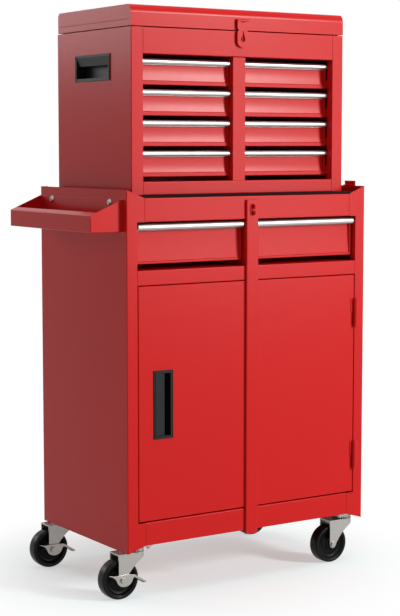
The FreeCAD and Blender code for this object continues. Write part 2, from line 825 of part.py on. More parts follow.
def door_hinges():
    """Two hinges on the right: the fixed halves on the cabinet's flange, the straps on the door."""
    fixed = []
    straps = []
    low = f"{DOOR_Z} + hinge_inset"
    high = f"{DOOR_Z} + {DOOR_HEIGHT} - hinge_inset - hinge_length"
    for number, bottom in enumerate((low, high), 1):
        left = f"{HINGE_X} - hinge_tab"
        front = "-hinge_stand - hinge_barrel"
        leaf = hinge_half(f"hinge_leaf_{number}", True)
        place(leaf, left, front, bottom)
        strap = hinge_half(f"hinge_strap_{number}", False)
        place(strap, left, front, f"{bottom} + hinge_length / 2 + seat_gap / 2")
        fixed.append(leaf)
        straps.append(strap)
    group("door_hinge_leaves", fixed)
    group("door_hinge_straps", straps)


# Drawers and their runners


def drawer_box(name, kind, width):
    """Drawer bent from sheet: open box, and a front with a folded lip below and folded ends.

    The body starts at the lower left front corner of the space that the front and its pull take.
    """
    body = new_body(name)
    height = f"{kind}_front_height"
    face = f"{kind}_pull_depth"
    pull = f"{kind}_pull_height"
    fold = f"{kind}_fold"
    tray = rectangle(
        body,
        "XY",
        "tray_inset",
        face,
        f"{width} - tray_inset",
        f"{face} + {kind}_box_depth",
        "tray_lift",
    )
    tray_height = f"({height} - tray_lift - tray_drop)"
    pad(body, tray, tray_height)
    inside = rectangle(
        body,
        "XY",
        "tray_inset + drawer_sheet",
        f"{face} + drawer_sheet",
        f"{width} - tray_inset - drawer_sheet",
        f"{face} + {kind}_box_depth - drawer_sheet",
        "tray_lift + drawer_sheet",
    )
    cut(body, inside, f"{tray_height} - drawer_sheet")
    pad(body, rectangle(body, "XZ", "0", "0", width, height, face), "drawer_sheet")
    rim_top = f"{height} - {pull}"
    rim = [
        ("0", "0"),
        (width, "0"),
        (width, rim_top),
        (f"{width} - side_fold", rim_top),
        (f"{width} - side_fold", fold),
        ("side_fold", fold),
        ("side_fold", rim_top),
        ("0", rim_top),
    ]
    rim_y = f"{face} - fold_proud"
    pad(body, outline(body, "XZ", rim, rim_y), "fold_proud")
    bend(body, [dict(y=rim_y, z="0"), dict(x="0", y=rim_y), dict(x=width, y=rim_y)])
    return body


def drawer_pull(name, kind, width):
    """Full-width pull: an upturned channel over the top of the drawer's front, open below for fingers."""
    body = new_body(name)
    deep = f"{kind}_pull_depth"
    high = f"{kind}_pull_height"
    section = [
        ("0", "0"),
        ("pull_wall", "0"),
        ("pull_wall", f"{high} - pull_wall"),
        (f"{deep} - pull_wall", f"{high} - pull_wall"),
        (f"{deep} - pull_wall", "0"),
        (deep, "0"),
        (deep, high),
        ("0", high),
    ]
    pad(body, outline(body, "YZ", section), width)
    bend(body, [dict(y="0", z=high)], "pull_round")
    return body


def drawer(label, kind, column_x, column_width, front_y, hole_top, one_node):
    """A drawer in its column, its pull as a node of its own or as the node's second solid."""
    width = f"({column_width} - 2 * {kind}_side_gap)"
    left = f"{column_x} + {kind}_side_gap"
    bottom = f"({hole_top} - {kind}_top_gap - {kind}_front_height)"
    box = drawer_box(f"{label}_box", kind, width)
    place(box, left, front_y, bottom)
    pull = drawer_pull(f"{label}_rail", kind, width)
    place(pull, left, front_y, f"{bottom} + {kind}_front_height - {kind}_pull_height")
    if one_node:
        group(label, [box, pull])
    else:
        keep(box, label)
        keep(pull, f"{label}_pull")


def runner(name, kind, x, web_left, span, hole_top):
    """Angle runner: a web against its support and a ledge under the drawer, set back behind the front.

    The span is the runner's start, the front of its drawer and the runner's end.
    """
    body = new_body(name)
    start, front_y, end = span
    ledge = "runner_ledge"
    if web_left:
        web = [("sheet", "sheet"), ("sheet", "runner_web"), ("0", "runner_web")]
        section = [("0", "0"), (ledge, "0"), (ledge, "sheet"), *web]
        clear = ("sheet", ledge)
    else:
        inner = f"{ledge} - sheet"
        web = [(ledge, "runner_web"), (inner, "runner_web"), (inner, "sheet")]
        section = [("0", "0"), (ledge, "0"), *web, ("0", "sheet")]
        clear = ("0", inner)
    pad(body, outline(body, "XZ", section), f"{end} - ({start})")
    nose = f"{front_y} + {kind}_pull_depth + drawer_sheet + seat_gap - ({start})"
    cut(body, rectangle(body, "XY", clear[0], "0", clear[1], nose), "sheet")
    floor = f"{hole_top} - {kind}_top_gap - {kind}_front_height + tray_lift"
    place(body, x, start, f"{floor} - seat_gap - sheet")
    return body


def runner_pair(name, kind, column_x, column_width, span, hole_top):
    right_x = f"{column_x} + {column_width} - runner_ledge"
    left = runner(f"{name}_left", kind, column_x, True, span, hole_top)
    right = runner(f"{name}_right", kind, right_x, False, span, hole_top)
    return [left, right]


def lower_drawers():
    columns = {"left": "flange_width", "right": f"{MIDDLE_X} + partition_width / 2"}
    runners = []
    start = "flange_return - runner_lap"
    for side, column_x in columns.items():
        name = f"{side}_drawer"
        drawer(name, "low", column_x, LOW_COLUMN_WIDTH, "low_front_y", TOP_RAIL_Z, False)
        span = (start, "low_front_y", BACK_Y)
        runners += runner_pair(f"{side}_run", "low", column_x, LOW_COLUMN_WIDTH, span, TOP_RAIL_Z)
    group("drawer_runners", runners)


def chest_drawers():
    columns = {"left": f"({CHEST_X} + stile_width)", "right": f"({MIDDLE_X} + post_width / 2)"}
    front_y = "(chest_setback + top_front_y)"
    start = "chest_setback + stile_return - runner_lap"
    end = "chest_setback + chest_depth - sheet"
    runners = []
    for row in range(CHEST_ROWS):
        hole_top = f"({CHEST_HOLE_TOP} - {row} * (top_front_height + row_gap))"
        for side, column_x in columns.items():
            drawer(f"chest_drawer_{side}_{row + 1}", "top", column_x, COLUMN_WIDTH, front_y, hole_top, True)
            name = f"chest_run_{side}_{row + 1}"
            runners += runner_pair(name, "top", column_x, COLUMN_WIDTH, (start, front_y, end), hole_top)
    group("chest_runners", runners)


# Casters


def caster_plate(name, x, y):
    """Top plate with its bolt holes, the race under it and the king pin that holds the fork."""
    body = new_body(name)
    low = "(race_height + seat_gap + fork_sheet + seat_gap + race_lower)"
    middle = "plate_size / 2"
    plate = rectangle(body, "XY", "0", "0", "plate_size", "plate_size", low)
    pad(body, plate, "plate_thick")
    corners = [dict(x=x, y=y) for x in ("0", "plate_size") for y in ("0", "plate_size")]
    bend(body, corners, "plate_corner")
    ends = ("bolt_inset", "plate_size - bolt_inset")
    bolts = [(across, up) for across in ends for up in ends]
    cut(body, circles(body, "XY", bolts, "bolt_hole", low), "plate_thick")
    race_low = f"{low} - race_height"
    pad(body, circles(body, "XY", [(middle, middle)], "race_radius", race_low), "race_height")
    pad(body, circles(body, "XY", [(middle, middle)], "king_pin"), low)
    pad(body, circles(body, "XY", [(middle, middle)], "king_head"), "race_lower")
    foot = amount(race_low)
    race = amount("race_radius")
    bevel_edges(body, "race_edge", lambda edge: is_circle(edge, race, z=foot))
    place(body, f"{x} - {middle}", f"{y} - {middle}", f"caster_height - plate_thick - {low}")
    return body


def leg_outline(body):
    """Side view of a fork leg: level top, upright rear edge, slanted front edge, round end about the axle.

    Across is counted from the leg's rear edge, up from the floor.
    """
    sketch = new_sketch(body, "XZ", "0")
    across = amount("fork_boss")
    up = amount("wheel_radius")
    radius = amount("fork_boss")
    reach = amount(f"{FORK_REACH} + fork_front")
    top = amount(FORK_TOP_Z)
    brow = top - amount("fork_brow")
    away = FreeCAD.Vector(reach - across, brow - up, 0)
    lean = FreeCAD.Vector(0, 0, 1).cross(away).normalize() * -radius
    touch = FreeCAD.Vector(across, up, 0) + lean
    start = FreeCAD.Vector(across - radius, up, 0)
    low = FreeCAD.Vector(across, up - radius, 0)
    sketch.addGeometry(Part.Arc(start, low, touch))
    sketch.addGeometry(Part.LineSegment(touch, FreeCAD.Vector(reach, brow, 0)))
    sketch.addGeometry(Part.LineSegment(FreeCAD.Vector(reach, brow, 0), FreeCAD.Vector(reach, top, 0)))
    sketch.addGeometry(Part.LineSegment(FreeCAD.Vector(reach, top, 0), FreeCAD.Vector(0, top, 0)))
    sketch.addGeometry(Part.LineSegment(FreeCAD.Vector(0, top, 0), start))
    sketch.addConstraint(Sketcher.Constraint("Tangent", 0, 2, 1, 1))
    sketch.addConstraint(Sketcher.Constraint("Coincident", 1, 2, 2, 1))
    sketch.addConstraint(Sketcher.Constraint("Coincident", 2, 2, 3, 1))
    sketch.addConstraint(Sketcher.Constraint("Coincident", 3, 2, 4, 1))
    sketch.addConstraint(Sketcher.Constraint("Tangent", 4, 2, 0, 1))
    hold_point(sketch, 0, 3, "fork_boss", "wheel_radius")
    sketch.addConstraint(Sketcher.Constraint("Radius", 0, radius))
    sketch.setExpression(f"Constraints[{sketch.ConstraintCount - 1}]", bind("fork_boss"))
    hold_point(sketch, 2, 1, f"{FORK_REACH} + fork_front", f"{FORK_TOP_Z} - fork_brow")
    hold_point(sketch, 3, 1, f"{FORK_REACH} + fork_front", FORK_TOP_Z)
    hold_point(sketch, 3, 2, "0", FORK_TOP_Z)
    return sketch


def caster_fork(name, x, y):
    """Fork pressed from plate, its legs bent down beside the wheel; the wheel trails to the left."""
    body = new_body(name)
    pad(body, leg_outline(body), FORK_WIDTH)
    reach = f"({FORK_REACH} + fork_front)"
    wall = "fork_sheet"
    slot = rectangle(body, "YZ", wall, "0", f"{FORK_WIDTH} - {wall}", f"{FORK_TOP_Z} - {wall}")
    cut(body, slot, reach)
    middle = (FORK_REACH, f"{FORK_WIDTH} / 2")
    pad(body, circles(body, "XY", [middle], "race_radius", f"{FORK_TOP_Z} - {wall}"), wall)
    cut(body, circles(body, "XY", [middle], "king_pin + turn_gap", f"{FORK_TOP_Z} - {wall}"), wall)
    cut(body, circles(body, "XZ", [("fork_boss", "wheel_radius")], "axle + turn_gap"), FORK_WIDTH)
    place(body, f"{x} - {FORK_REACH}", f"{y} - {FORK_WIDTH} / 2", "0")
    return body


def caster_axle(name, x, y, pedal_room):
    """Axle bolt through fork and wheel, its head on the near leg or on the brake pedal, its nut behind."""
    body = new_body(name)
    middle = "axle_across"
    pad(body, hexagon(body, "XZ", middle, middle, "axle_across"), "axle_head_thick")
    grip = f"axle_head_thick + {pedal_room} + {FORK_WIDTH}"
    pad(body, circles(body, "XZ", [(middle, middle)], "axle"), f"{grip} + axle_head_thick + sheet")
    pad(body, hexagon(body, "XZ", middle, middle, "axle_across", grip), "axle_head_thick")
    front = f"{y} - {FORK_WIDTH} / 2 - {pedal_room} - axle_head_thick"
    place(body, f"{x} - trail - {middle}", front, f"wheel_radius - {middle}")
    return body


def caster_wheel(label, x, y):
    """Wheel dished on both sides between a hub and a rim, its tread edges broken."""
    body = new_body(label)
    bore = "(axle + turn_gap)"
    wide = "wheel_width"
    section = [
        (bore, "0"),
        ("wheel_hub", "0"),
        ("wheel_hub", "wheel_dish"),
        ("wheel_rim", "wheel_dish"),
        ("wheel_rim", "0"),
        ("wheel_radius - wheel_edge", "0"),
        ("wheel_radius", "wheel_edge"),
        ("wheel_radius", f"{wide} - wheel_edge"),
        ("wheel_radius - wheel_edge", wide),
        ("wheel_rim", wide),
        ("wheel_rim", f"{wide} - wheel_dish"),
        ("wheel_hub", f"{wide} - wheel_dish"),
        ("wheel_hub", wide),
        (bore, wide),
    ]
    sketch = outline(body, "XY", section)
    turned = body.newObject("PartDesign::Revolution", f"{label}_turned")
    turned.Profile = sketch
    turned.ReferenceAxis = (sketch, ["V_Axis"])
    turned.Angle = FULL_TURN
    place(body, f"{x} - trail", f"{y} - {wide} / 2", "wheel_radius")
    keep(body, label)


def brake_pedal(label, x, y):
    """Brake pedal on the axle: a half-round lobe with two tapered wings, and a tread behind the wheel.

    Across is counted from the tip of the left wing, up from the floor.
    """
    body = new_body(label)
    axle_x = "pedal_left"
    tip = ("0", "wheel_radius + pedal_left_rise")
    neck = (f"{axle_x} - pedal_neck", "wheel_radius + pedal_neck_rise")
    brow = (f"{axle_x} + pedal_brow", "wheel_radius + pedal_brow_rise")
    right = f"{axle_x} + pedal_right"
    low = "wheel_radius - pedal_right_drop"
    lobe = (f"{axle_x} + lobe_ahead", "wheel_radius + lobe_rise")
    pad(body, circles(body, "XZ", [lobe], "pedal_lobe"), "pedal_sheet")
    above = f"{lobe[1]} + pedal_lobe + sheet"
    top = [tip, neck, brow, (brow[0], above), ("0", above)]
    cut(body, outline(body, "XZ", top), "pedal_sheet")
    wings = [
        tip,
        neck,
        brow,
        (right, f"{low} + tread_thick"),
        (right, low),
        (f"{lobe[0]} + pedal_lobe - pedal_tread / 2", f"{lobe[1]} - pedal_tread"),
        (f"{lobe[0]} - pedal_lobe + sheet", f"{lobe[1]} + tread_thick"),
    ]
    pad(body, outline(body, "XZ", wings), "pedal_sheet")
    tread = rectangle(body, "XZ", f"{right} - pedal_tread", low, right, f"{low} + tread_thick")
    pad(body, tread, f"{FORK_WIDTH} + {PEDAL_ROOM}")
    cut(body, circles(body, "XZ", [(axle_x, "wheel_radius")], "axle + turn_gap"), "pedal_sheet")
    front = f"{y} - {FORK_WIDTH} / 2 - seat_gap - pedal_sheet"
    place(body, f"{x} - trail - {axle_x}", front, "0")
    keep(body, label)


def casters():
    plates = []
    for name, x, y in caster_corners():
        plates.append(caster_plate(f"plate_{name}", x, y))
        has_brake = name.endswith("left")
        fork = caster_fork(f"fork_{name}", x, y)
        axle = caster_axle(f"axle_{name}", x, y, PEDAL_ROOM if has_brake else "0")
        group(f"caster_fork_{name}", [fork, axle])
        caster_wheel(f"caster_wheel_{name}", x, y)
        if has_brake:
            brake_pedal(f"brake_pedal_{name}", x, y)
    group("caster_plates", plates)


# Top chest


def chest_wrap():
    """One sheet bent round the left side, back and right side, with the front stiles and their returns."""
    body = new_body("wrap")
    wide = CHEST_WIDTH
    deep = "chest_depth"
    plan = [
        ("stile_width", "0"),
        ("stile_width", "stile_return"),
        ("stile_width - sheet", "stile_return"),
        ("stile_width - sheet", "sheet"),
        ("sheet", "sheet"),
        ("sheet", f"{deep} - sheet"),
        (f"{wide} - sheet", f"{deep} - sheet"),
        (f"{wide} - sheet", "sheet"),
        (f"{wide} - stile_width + sheet", "sheet"),
        (f"{wide} - stile_width + sheet", "stile_return"),
        (f"{wide} - stile_width", "stile_return"),
        (f"{wide} - stile_width", "0"),
        (wide, "0"),
        (wide, deep),
        ("0", deep),
        ("0", "0"),
    ]
    pad(body, outline(body, "XY", plan), "chest_height")
    bend(body, [dict(x=x, y=y) for x in ("0", wide) for y in ("0", deep)])
    cut(body, pull_hole(body, "YZ", "handle_front", HANDLE_Z, "handle_length", "handle_width"), wide)
    place(body, CHEST_X, "chest_setback", CHEST_Z)
    keep(body, "chest_wrap")


def chest_rails():
    left = f"{CHEST_X} + stile_width + sheet_joint"
    wide = f"{CHEST_WIDTH} - 2 * (stile_width + sheet_joint)"
    front = "chest_setback"
    channel_rail("chest_bottom_rail", left, wide, front, CHEST_Z, "chest_bottom_rail", True)
    channel_rail("chest_top_rail", left, wide, front, CHEST_HOLE_TOP, "chest_top_rail", True)


def upturned_panel(label, z):
    """A level panel of the chest with its left and right edges turned up, behind the front rails."""
    body = new_body(label)
    wide = f"({CHEST_WIDTH} - 2 * sheet)"
    section = [
        ("0", "0"),
        (wide, "0"),
        (wide, "panel_lip"),
        (f"{wide} - sheet", "panel_lip"),
        (f"{wide} - sheet", "sheet"),
        ("sheet", "sheet"),
        ("sheet", "panel_lip"),
        ("0", "panel_lip"),
    ]
    pad(body, outline(body, "XZ", section), "chest_depth - sheet - rail_lip")
    bend(body, [dict(x="0", z="0"), dict(x=wide, z="0")])
    place(body, f"{CHEST_X} + sheet", "chest_setback + rail_lip", z)
    keep(body, label)


def drawer_partition():
    left = f"{MIDDLE_X} - partition_width / 2"
    deep = f"{BACK_Y} - sheet"
    height = "drawer_opening_height"
    channel_post("drawer_partition", left, "sheet", DRAWER_HOLE_Z, "partition_width", deep, height)


def chest_post():
    left = f"{MIDDLE_X} - post_width / 2"
    front = "chest_setback + post_setback"
    deep = "chest_depth - sheet - post_setback"
    height = f"{CHEST_HOLE_TOP} - {CHEST_HOLE_Z}"
    channel_post("chest_post", left, front, CHEST_HOLE_Z, "post_width", deep, height)


def chest_handles():
    """Carry handles in both sides, hood up and mouth down."""
    top = f"{CHEST_Z} + {HANDLE_Z} + handle_width"
    front = "chest_setback + handle_front"
    left = recessed_pull("left_handle", "handle_length", "handle_width", "handle_hood")
    # Across the pull points down, into the sheet points right, along the pull points to the front.
    left_turn = FreeCAD.Rotation(FreeCAD.Vector(0, 0, -1), FreeCAD.Vector(1, 0, 0), FreeCAD.Vector(0, -1, 0))
    place(left, f"{CHEST_X} - cup_proud", f"{front} + handle_length", top, left_turn)
    keep(left, "chest_handle_left")
    right = recessed_pull("right_handle", "handle_length", "handle_width", "handle_hood")
    right_turn = FreeCAD.Rotation(FreeCAD.Vector(0, 0, -1), FreeCAD.Vector(-1, 0, 0), FreeCAD.Vector(0, 1, 0))
    place(right, f"{CHEST_X} + {CHEST_WIDTH} + cup_proud", front, top, right_turn)
    keep(right, "chest_handle_right")


# Hasp and lid


def hasp_staple():
    """Low staple on the chest that ends just behind the hasp's slot."""
    body = new_body("chest_staple")
    reach = "(hasp_stand - seat_gap)"
    foot = "staple_foot"
    thick = "staple_sheet"
    plan = [
        ("0", f"{reach} - {thick}"),
        (foot, f"{reach} - {thick}"),
        (foot, "0"),
        (f"{foot} + {thick}", "0"),
        (f"{foot} + {thick}", reach),
        ("0", reach),
    ]
    pad(body, outline(body, "XY", plan), "hasp_staple_height")
    slot_middle = f"{HASP_LOW_Z} + hasp_slot_low + hasp_slot_length / 2"
    left = f"{MIDDLE_X} - {foot} - {thick} / 2"
    place(body, left, f"chest_setback - {reach}", f"{slot_middle} - hasp_staple_height / 2")
    keep(body, "hasp_staple")


def hasp():
    """Swinging hasp: waisted strap with a tapered slot and a round end, two knuckles and the hinge pin."""
    body = new_body("swing_hasp")
    wide = "hasp_width"
    notch = "hasp_length - hasp_knuckle - seat_gap"
    waist = ("hasp_waist - waist_high / 2", "hasp_waist", "hasp_waist + waist_high / 2")
    strap = [
        ("0", "0"),
        (wide, "0"),
        (wide, waist[0]),
        (f"{wide} - waist_deep", waist[1]),
        (wide, waist[2]),
        (wide, "hasp_length"),
        (f"2 * {HASP_THIRD} + seat_gap", "hasp_length"),
        (f"2 * {HASP_THIRD} + seat_gap", notch),
        (f"{HASP_THIRD} - seat_gap", notch),
        (f"{HASP_THIRD} - seat_gap", "hasp_length"),
        ("0", "hasp_length"),
        ("0", waist[2]),
        ("waist_deep", waist[1]),
        ("0", waist[0]),
    ]
    pad(body, outline(body, "XZ", strap, HASP_STRAP_Y), "hasp_sheet")
    bend(body, [dict(x="0", z="0"), dict(x=wide, z="0")], "hasp_round")
    centre = [("hasp_knuckle", "hasp_length")]
    for start in ("0", f"2 * {HASP_THIRD} + seat_gap"):
        pad(body, circles(body, "YZ", centre, "hasp_knuckle", start), f"{HASP_THIRD} - seat_gap")
    pad(body, circles(body, "YZ", centre, "hasp_pin"), wide)
    high = "hasp_slot_low + hasp_slot_length"
    slot = [
        (f"({wide} - hasp_slot_width) / 2", "hasp_slot_low"),
        (f"({wide} + hasp_slot_width) / 2", "hasp_slot_low"),
        (f"({wide} + hasp_slot_top) / 2", high),
        (f"({wide} - hasp_slot_top) / 2", high),
    ]
    cut(body, outline(body, "XZ", slot, HASP_STRAP_Y), "hasp_sheet")
    place(body, f"{MIDDLE_X} - {wide} / 2", f"chest_setback - {HASP_FRONT}", HASP_LOW_Z)
    keep(body, "hasp")


def hasp_leaf():
    """Fixed leaf on the lid's front with the middle knuckle."""
    body = new_body("lid_leaf")
    wide = "(hasp_width - 2 * hasp_leaf_inset)"
    low = "hasp_leaf_length"
    plate_y = f"{HASP_FRONT} - sheet"
    pad(body, rectangle(body, "XZ", "0", "0", wide, f"{low} - hasp_knuckle - seat_gap", plate_y), "sheet")
    knuckle_x = f"{HASP_THIRD} - hasp_leaf_inset"
    neck_end = (f"{knuckle_x} + {HASP_THIRD}", f"{low} + hasp_knuckle / 2")
    pad(body, rectangle(body, "XZ", knuckle_x, "0", *neck_end, plate_y), "sheet")
    centre = [("hasp_knuckle", low)]
    pad(body, circles(body, "YZ", centre, "hasp_knuckle", knuckle_x), HASP_THIRD)
    cut(body, circles(body, "YZ", centre, "hasp_pin + turn_gap", knuckle_x), HASP_THIRD)
    left = f"{MIDDLE_X} - {wide} / 2"
    place(body, left, f"chest_setback - {HASP_FRONT}", f"{HASP_AXIS_Z} - {low}")
    keep(body, "hasp_leaf")


def lid():
    """Pressed lid: hollow below, rounded over at the front and back, creased along both ends."""
    body = new_body("lid_shell")
    wide = CHEST_WIDTH
    high = "lid_height"
    pad(body, rectangle(body, "YZ", "0", "0", LID_DEPTH, high), wide)
    bend(body, [dict(y="0", z=high)], "lid_front_round")
    bend(body, [dict(y=LID_DEPTH, z=high)], "lid_rear_round")
    doc.recompute()
    base = body.Tip
    faces = [f"Face{n}" for n, face in enumerate(base.Shape.Faces, 1) if same(face.CenterOfMass.z, 0)]
    hollow = body.newObject("PartDesign::Thickness", "lid_hollow")
    hollow.Base = (base, faces)
    hollow.setExpression("Value", bind("sheet"))
    hollow.Reversed = True
    hollow.Join = "Intersection"
    low = "lid_crease"
    crease = ("crease_end", low, f"{LID_DEPTH} - crease_end", f"{low} + crease_width")
    cut(body, rectangle(body, "YZ", *crease), "crease_deep")
    cut(body, rectangle(body, "YZ", *crease, f"{wide} - crease_deep"), "crease_deep")
    place(body, CHEST_X, "chest_setback", LID_Z)
    keep(body, "lid")


def knuckle_ends(is_fixed):
    """Start and length of the knuckles of one hinge half along the lid, shared out evenly."""
    share = f"(lid_hinge_length / {HINGE_KNUCKLES})"
    first = 0 if is_fixed else 1
    numbers = range(first, HINGE_KNUCKLES, 2)
    return [(f"{share} * {number} + seat_gap / 2", f"{share} - seat_gap") for number in numbers]


def lid_hinge_leaf():
    """Fixed half of the lid's hinge: leaf on the chest's back, outer and middle knuckles, the pin."""
    body = new_body("hinge_leaf")
    plate = "lid_leaf"
    clear = "lid_knuckle + seat_gap"
    pad(body, rectangle(body, "XZ", "0", "0", "lid_hinge_length", f"{plate} - ({clear})"), "sheet")
    centre = [(clear, plate)]
    for start, length in knuckle_ends(True):
        pad(body, rectangle(body, "XZ", start, "0", f"{start} + {length}", plate), "sheet")
        pad(body, circles(body, "YZ", centre, "lid_knuckle", start), length)
    pad(body, circles(body, "YZ", centre, "lid_pin"), "lid_hinge_length")
    left = f"{MIDDLE_X} - lid_hinge_length / 2"
    place(body, left, "chest_setback + chest_depth", f"{LID_AXIS_Z} - {plate}")
    keep(body, "lid_hinge_leaf")


def lid_hinge_strap():
    """Moving half: strap up the lid's back, a web out to the axis and the knuckles between the fixed ones."""
    body = new_body("hinge_strap")
    base = f"({LID_Z} - {LID_AXIS_Z} + lid_knuckle)"
    out = "(lid_short + lid_knuckle + seat_gap)"
    short = f"{out} - lid_knuckle - seat_gap"
    section = [
        ("0", base),
        (short, base),
        (short, f"{base} + sheet"),
        ("sheet", f"{base} + sheet"),
        ("sheet", f"{base} + lid_strap"),
        ("0", f"{base} + lid_strap"),
    ]
    pad(body, outline(body, "YZ", section), "lid_hinge_length")
    centre = [(out, "lid_knuckle")]
    for start, length in knuckle_ends(False):
        web = rectangle(body, "YZ", "sheet / 2", base, out, f"{base} + sheet", start)
        pad(body, web, length)
        pad(body, circles(body, "YZ", centre, "lid_knuckle", start), length)
    for start, length in knuckle_ends(False):
        cut(body, circles(body, "YZ", centre, "lid_pin + turn_gap", start), length)
    left = f"{MIDDLE_X} - lid_hinge_length / 2"
    place(body, left, "chest_setback + chest_depth - lid_short", f"{LID_AXIS_Z} - lid_knuckle")
    keep(body, "lid_hinge_strap")


def build():
    fill_sheet()
    cabinet_sides()
    cabinet_rails()
    lipped_panel("cabinet_top", CAB_TOP_Z)
    lipped_panel("drawer_deck", DRAWER_HOLE_Z)
    cabinet_back()
    cabinet_floor()
    drawer_partition()
    top_mat()
    bar_staple()
    shelf_tray()
    cabinet_screws()
    side_clip()
    door_panel()
    door_cup()
    lock_bar()
    door_hinges()
    lower_drawers()
    casters()
    chest_wrap()
    chest_rails()
    upturned_panel("chest_floor", CHEST_Z)
    upturned_panel("till_floor", CHEST_HOLE_TOP)
    chest_post()
    chest_handles()
    chest_drawers()
    hasp_staple()
    hasp()
    hasp_leaf()
    lid()
    lid_hinge_leaf()
    lid_hinge_strap()
    doc.recompute()


def check():
    """Stops on any object that failed, any cut that took nothing away and any bad sub-part."""
    failed = [item.Name for item in doc.Objects if {"Invalid", "Error"} & set(item.State)]
    if failed:
        raise RuntimeError(f"failed: {failed}")
    for feature in cut_features:
        if feature.Shape.Volume >= feature.BaseFeature.Shape.Volume:
            raise RuntimeError(f"{feature.Name} cuts nothing")
    for label, item in sub_parts.items():
        if item.Shape.isNull() or not item.Shape.isValid() or not item.Shape.Solids:
            raise RuntimeError(f"{label} has no valid solid")


def write():
    os.makedirs("parts", exist_ok=True)
    for label, item in sub_parts.items():
        item.Shape.exportStep(os.path.join("parts", f"{label}.step"))


build()
check()
write()
print(f"{len(sub_parts)} sub-parts written")
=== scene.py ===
import json
from math import cos, pi, radians, sin

import bmesh
import bpy
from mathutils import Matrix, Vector

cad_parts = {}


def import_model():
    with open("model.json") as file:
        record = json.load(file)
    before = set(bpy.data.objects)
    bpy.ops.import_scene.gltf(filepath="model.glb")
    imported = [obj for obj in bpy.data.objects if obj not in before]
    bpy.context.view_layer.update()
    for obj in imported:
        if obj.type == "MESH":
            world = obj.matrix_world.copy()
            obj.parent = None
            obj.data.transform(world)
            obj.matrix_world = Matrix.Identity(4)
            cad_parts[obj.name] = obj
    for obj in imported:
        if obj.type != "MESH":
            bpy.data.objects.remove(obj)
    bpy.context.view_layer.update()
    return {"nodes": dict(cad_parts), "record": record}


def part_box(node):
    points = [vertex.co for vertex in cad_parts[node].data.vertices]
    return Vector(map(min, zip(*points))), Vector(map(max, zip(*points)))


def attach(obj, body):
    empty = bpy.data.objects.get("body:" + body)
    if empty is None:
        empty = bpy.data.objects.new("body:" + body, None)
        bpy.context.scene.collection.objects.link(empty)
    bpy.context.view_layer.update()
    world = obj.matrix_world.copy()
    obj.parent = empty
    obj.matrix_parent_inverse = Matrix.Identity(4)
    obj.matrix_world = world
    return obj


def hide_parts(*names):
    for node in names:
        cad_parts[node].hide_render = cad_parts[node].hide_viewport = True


# Rolling tool cabinet: the finished look of every piece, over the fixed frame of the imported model.
# Lengths are written in millimetres and turned into metres where a mesh or a tree takes them.

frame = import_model()

MM = 0.001
RED, TRIM, BLACK, ZINC, RUBBER = "red_paint", "pull_trim", "black_plastic", "zinc_steel", "wheel_rubber"


# Materials. A pattern's scale counts its repeats in a metre: 400 is 2.5 mm from crest to crest.


def linear(colour):
    """An sRGB hex colour as the linear values that a shader takes."""
    values = []
    for place in (1, 3, 5):
        part = int(colour[place:place + 2], 16) / 255
        values.append(part / 12.92 if part <= 0.04045 else ((part + 0.055) / 1.055) ** 2.4)
    return (*values, 1.0)


def add(tree, kind, settings=None, **links):
    """Adds a node with its settings; each named input gets a plain value or the outputs that feed it."""
    made = tree.nodes.new(kind)
    for key, value in (settings or {}).items():
        setattr(made, key, value)
    for key, value in links.items():
        socket = next(item for item in made.inputs if key in (item.identifier, item.name.replace(" ", "_")))
        sources = value if isinstance(value, list) else [value]
        for source in sources:
            if isinstance(source, bpy.types.NodeSocket):
                tree.links.new(source, socket)
            else:
                socket.default_value = source
    return made


def start_material(name):
    """An empty material, and the object coordinates that its patterns read."""
    material = bpy.data.materials.new(name)
    material.use_nodes = True
    tree = material.node_tree
    tree.nodes.clear()
    place = add(tree, "ShaderNodeTexCoord").outputs["Object"]
    return material, tree, place


def powder_coat(name, colour, deep, roughness):
    """Polyester powder coat, sprayed dry and baked on sheet steel: an even, glossy red.

    Seen close it has the soft orange peel of the cured film, 2.5 mm from crest to crest and 8 microns high.
    """
    material, tree, place = start_material(name)
    cloud = add(tree, "ShaderNodeTexNoise", Vector=place, Scale=4.0, Detail=2.0)
    tint = add(tree, "ShaderNodeMix", {"data_type": "RGBA"}, Factor_Float=cloud.outputs["Fac"],
               A_Color=linear(deep), B_Color=linear(colour))
    film = add(tree, "ShaderNodeTexNoise", Vector=place, Scale=60.0, Detail=3.0)
    gloss = add(tree, "ShaderNodeMapRange", Value=film.outputs["Fac"], From_Min=0.3, From_Max=0.7,
                To_Min=roughness - 0.01, To_Max=roughness + 0.01)
    peel = add(tree, "ShaderNodeTexNoise", Vector=place, Scale=400.0, Detail=1.0, Roughness=0.4)
    bump = add(tree, "ShaderNodeBump", Strength=1.0, Distance=0.000008, Height=peel.outputs["Fac"])
    shader = add(tree, "ShaderNodeBsdfPrincipled", Base_Color=tint.outputs["Result"],
                 Roughness=gloss.outputs["Result"], IOR=1.22, Normal=bump.outputs["Normal"])
    add(tree, "ShaderNodeOutputMaterial", Surface=shader.outputs[0])
    return material


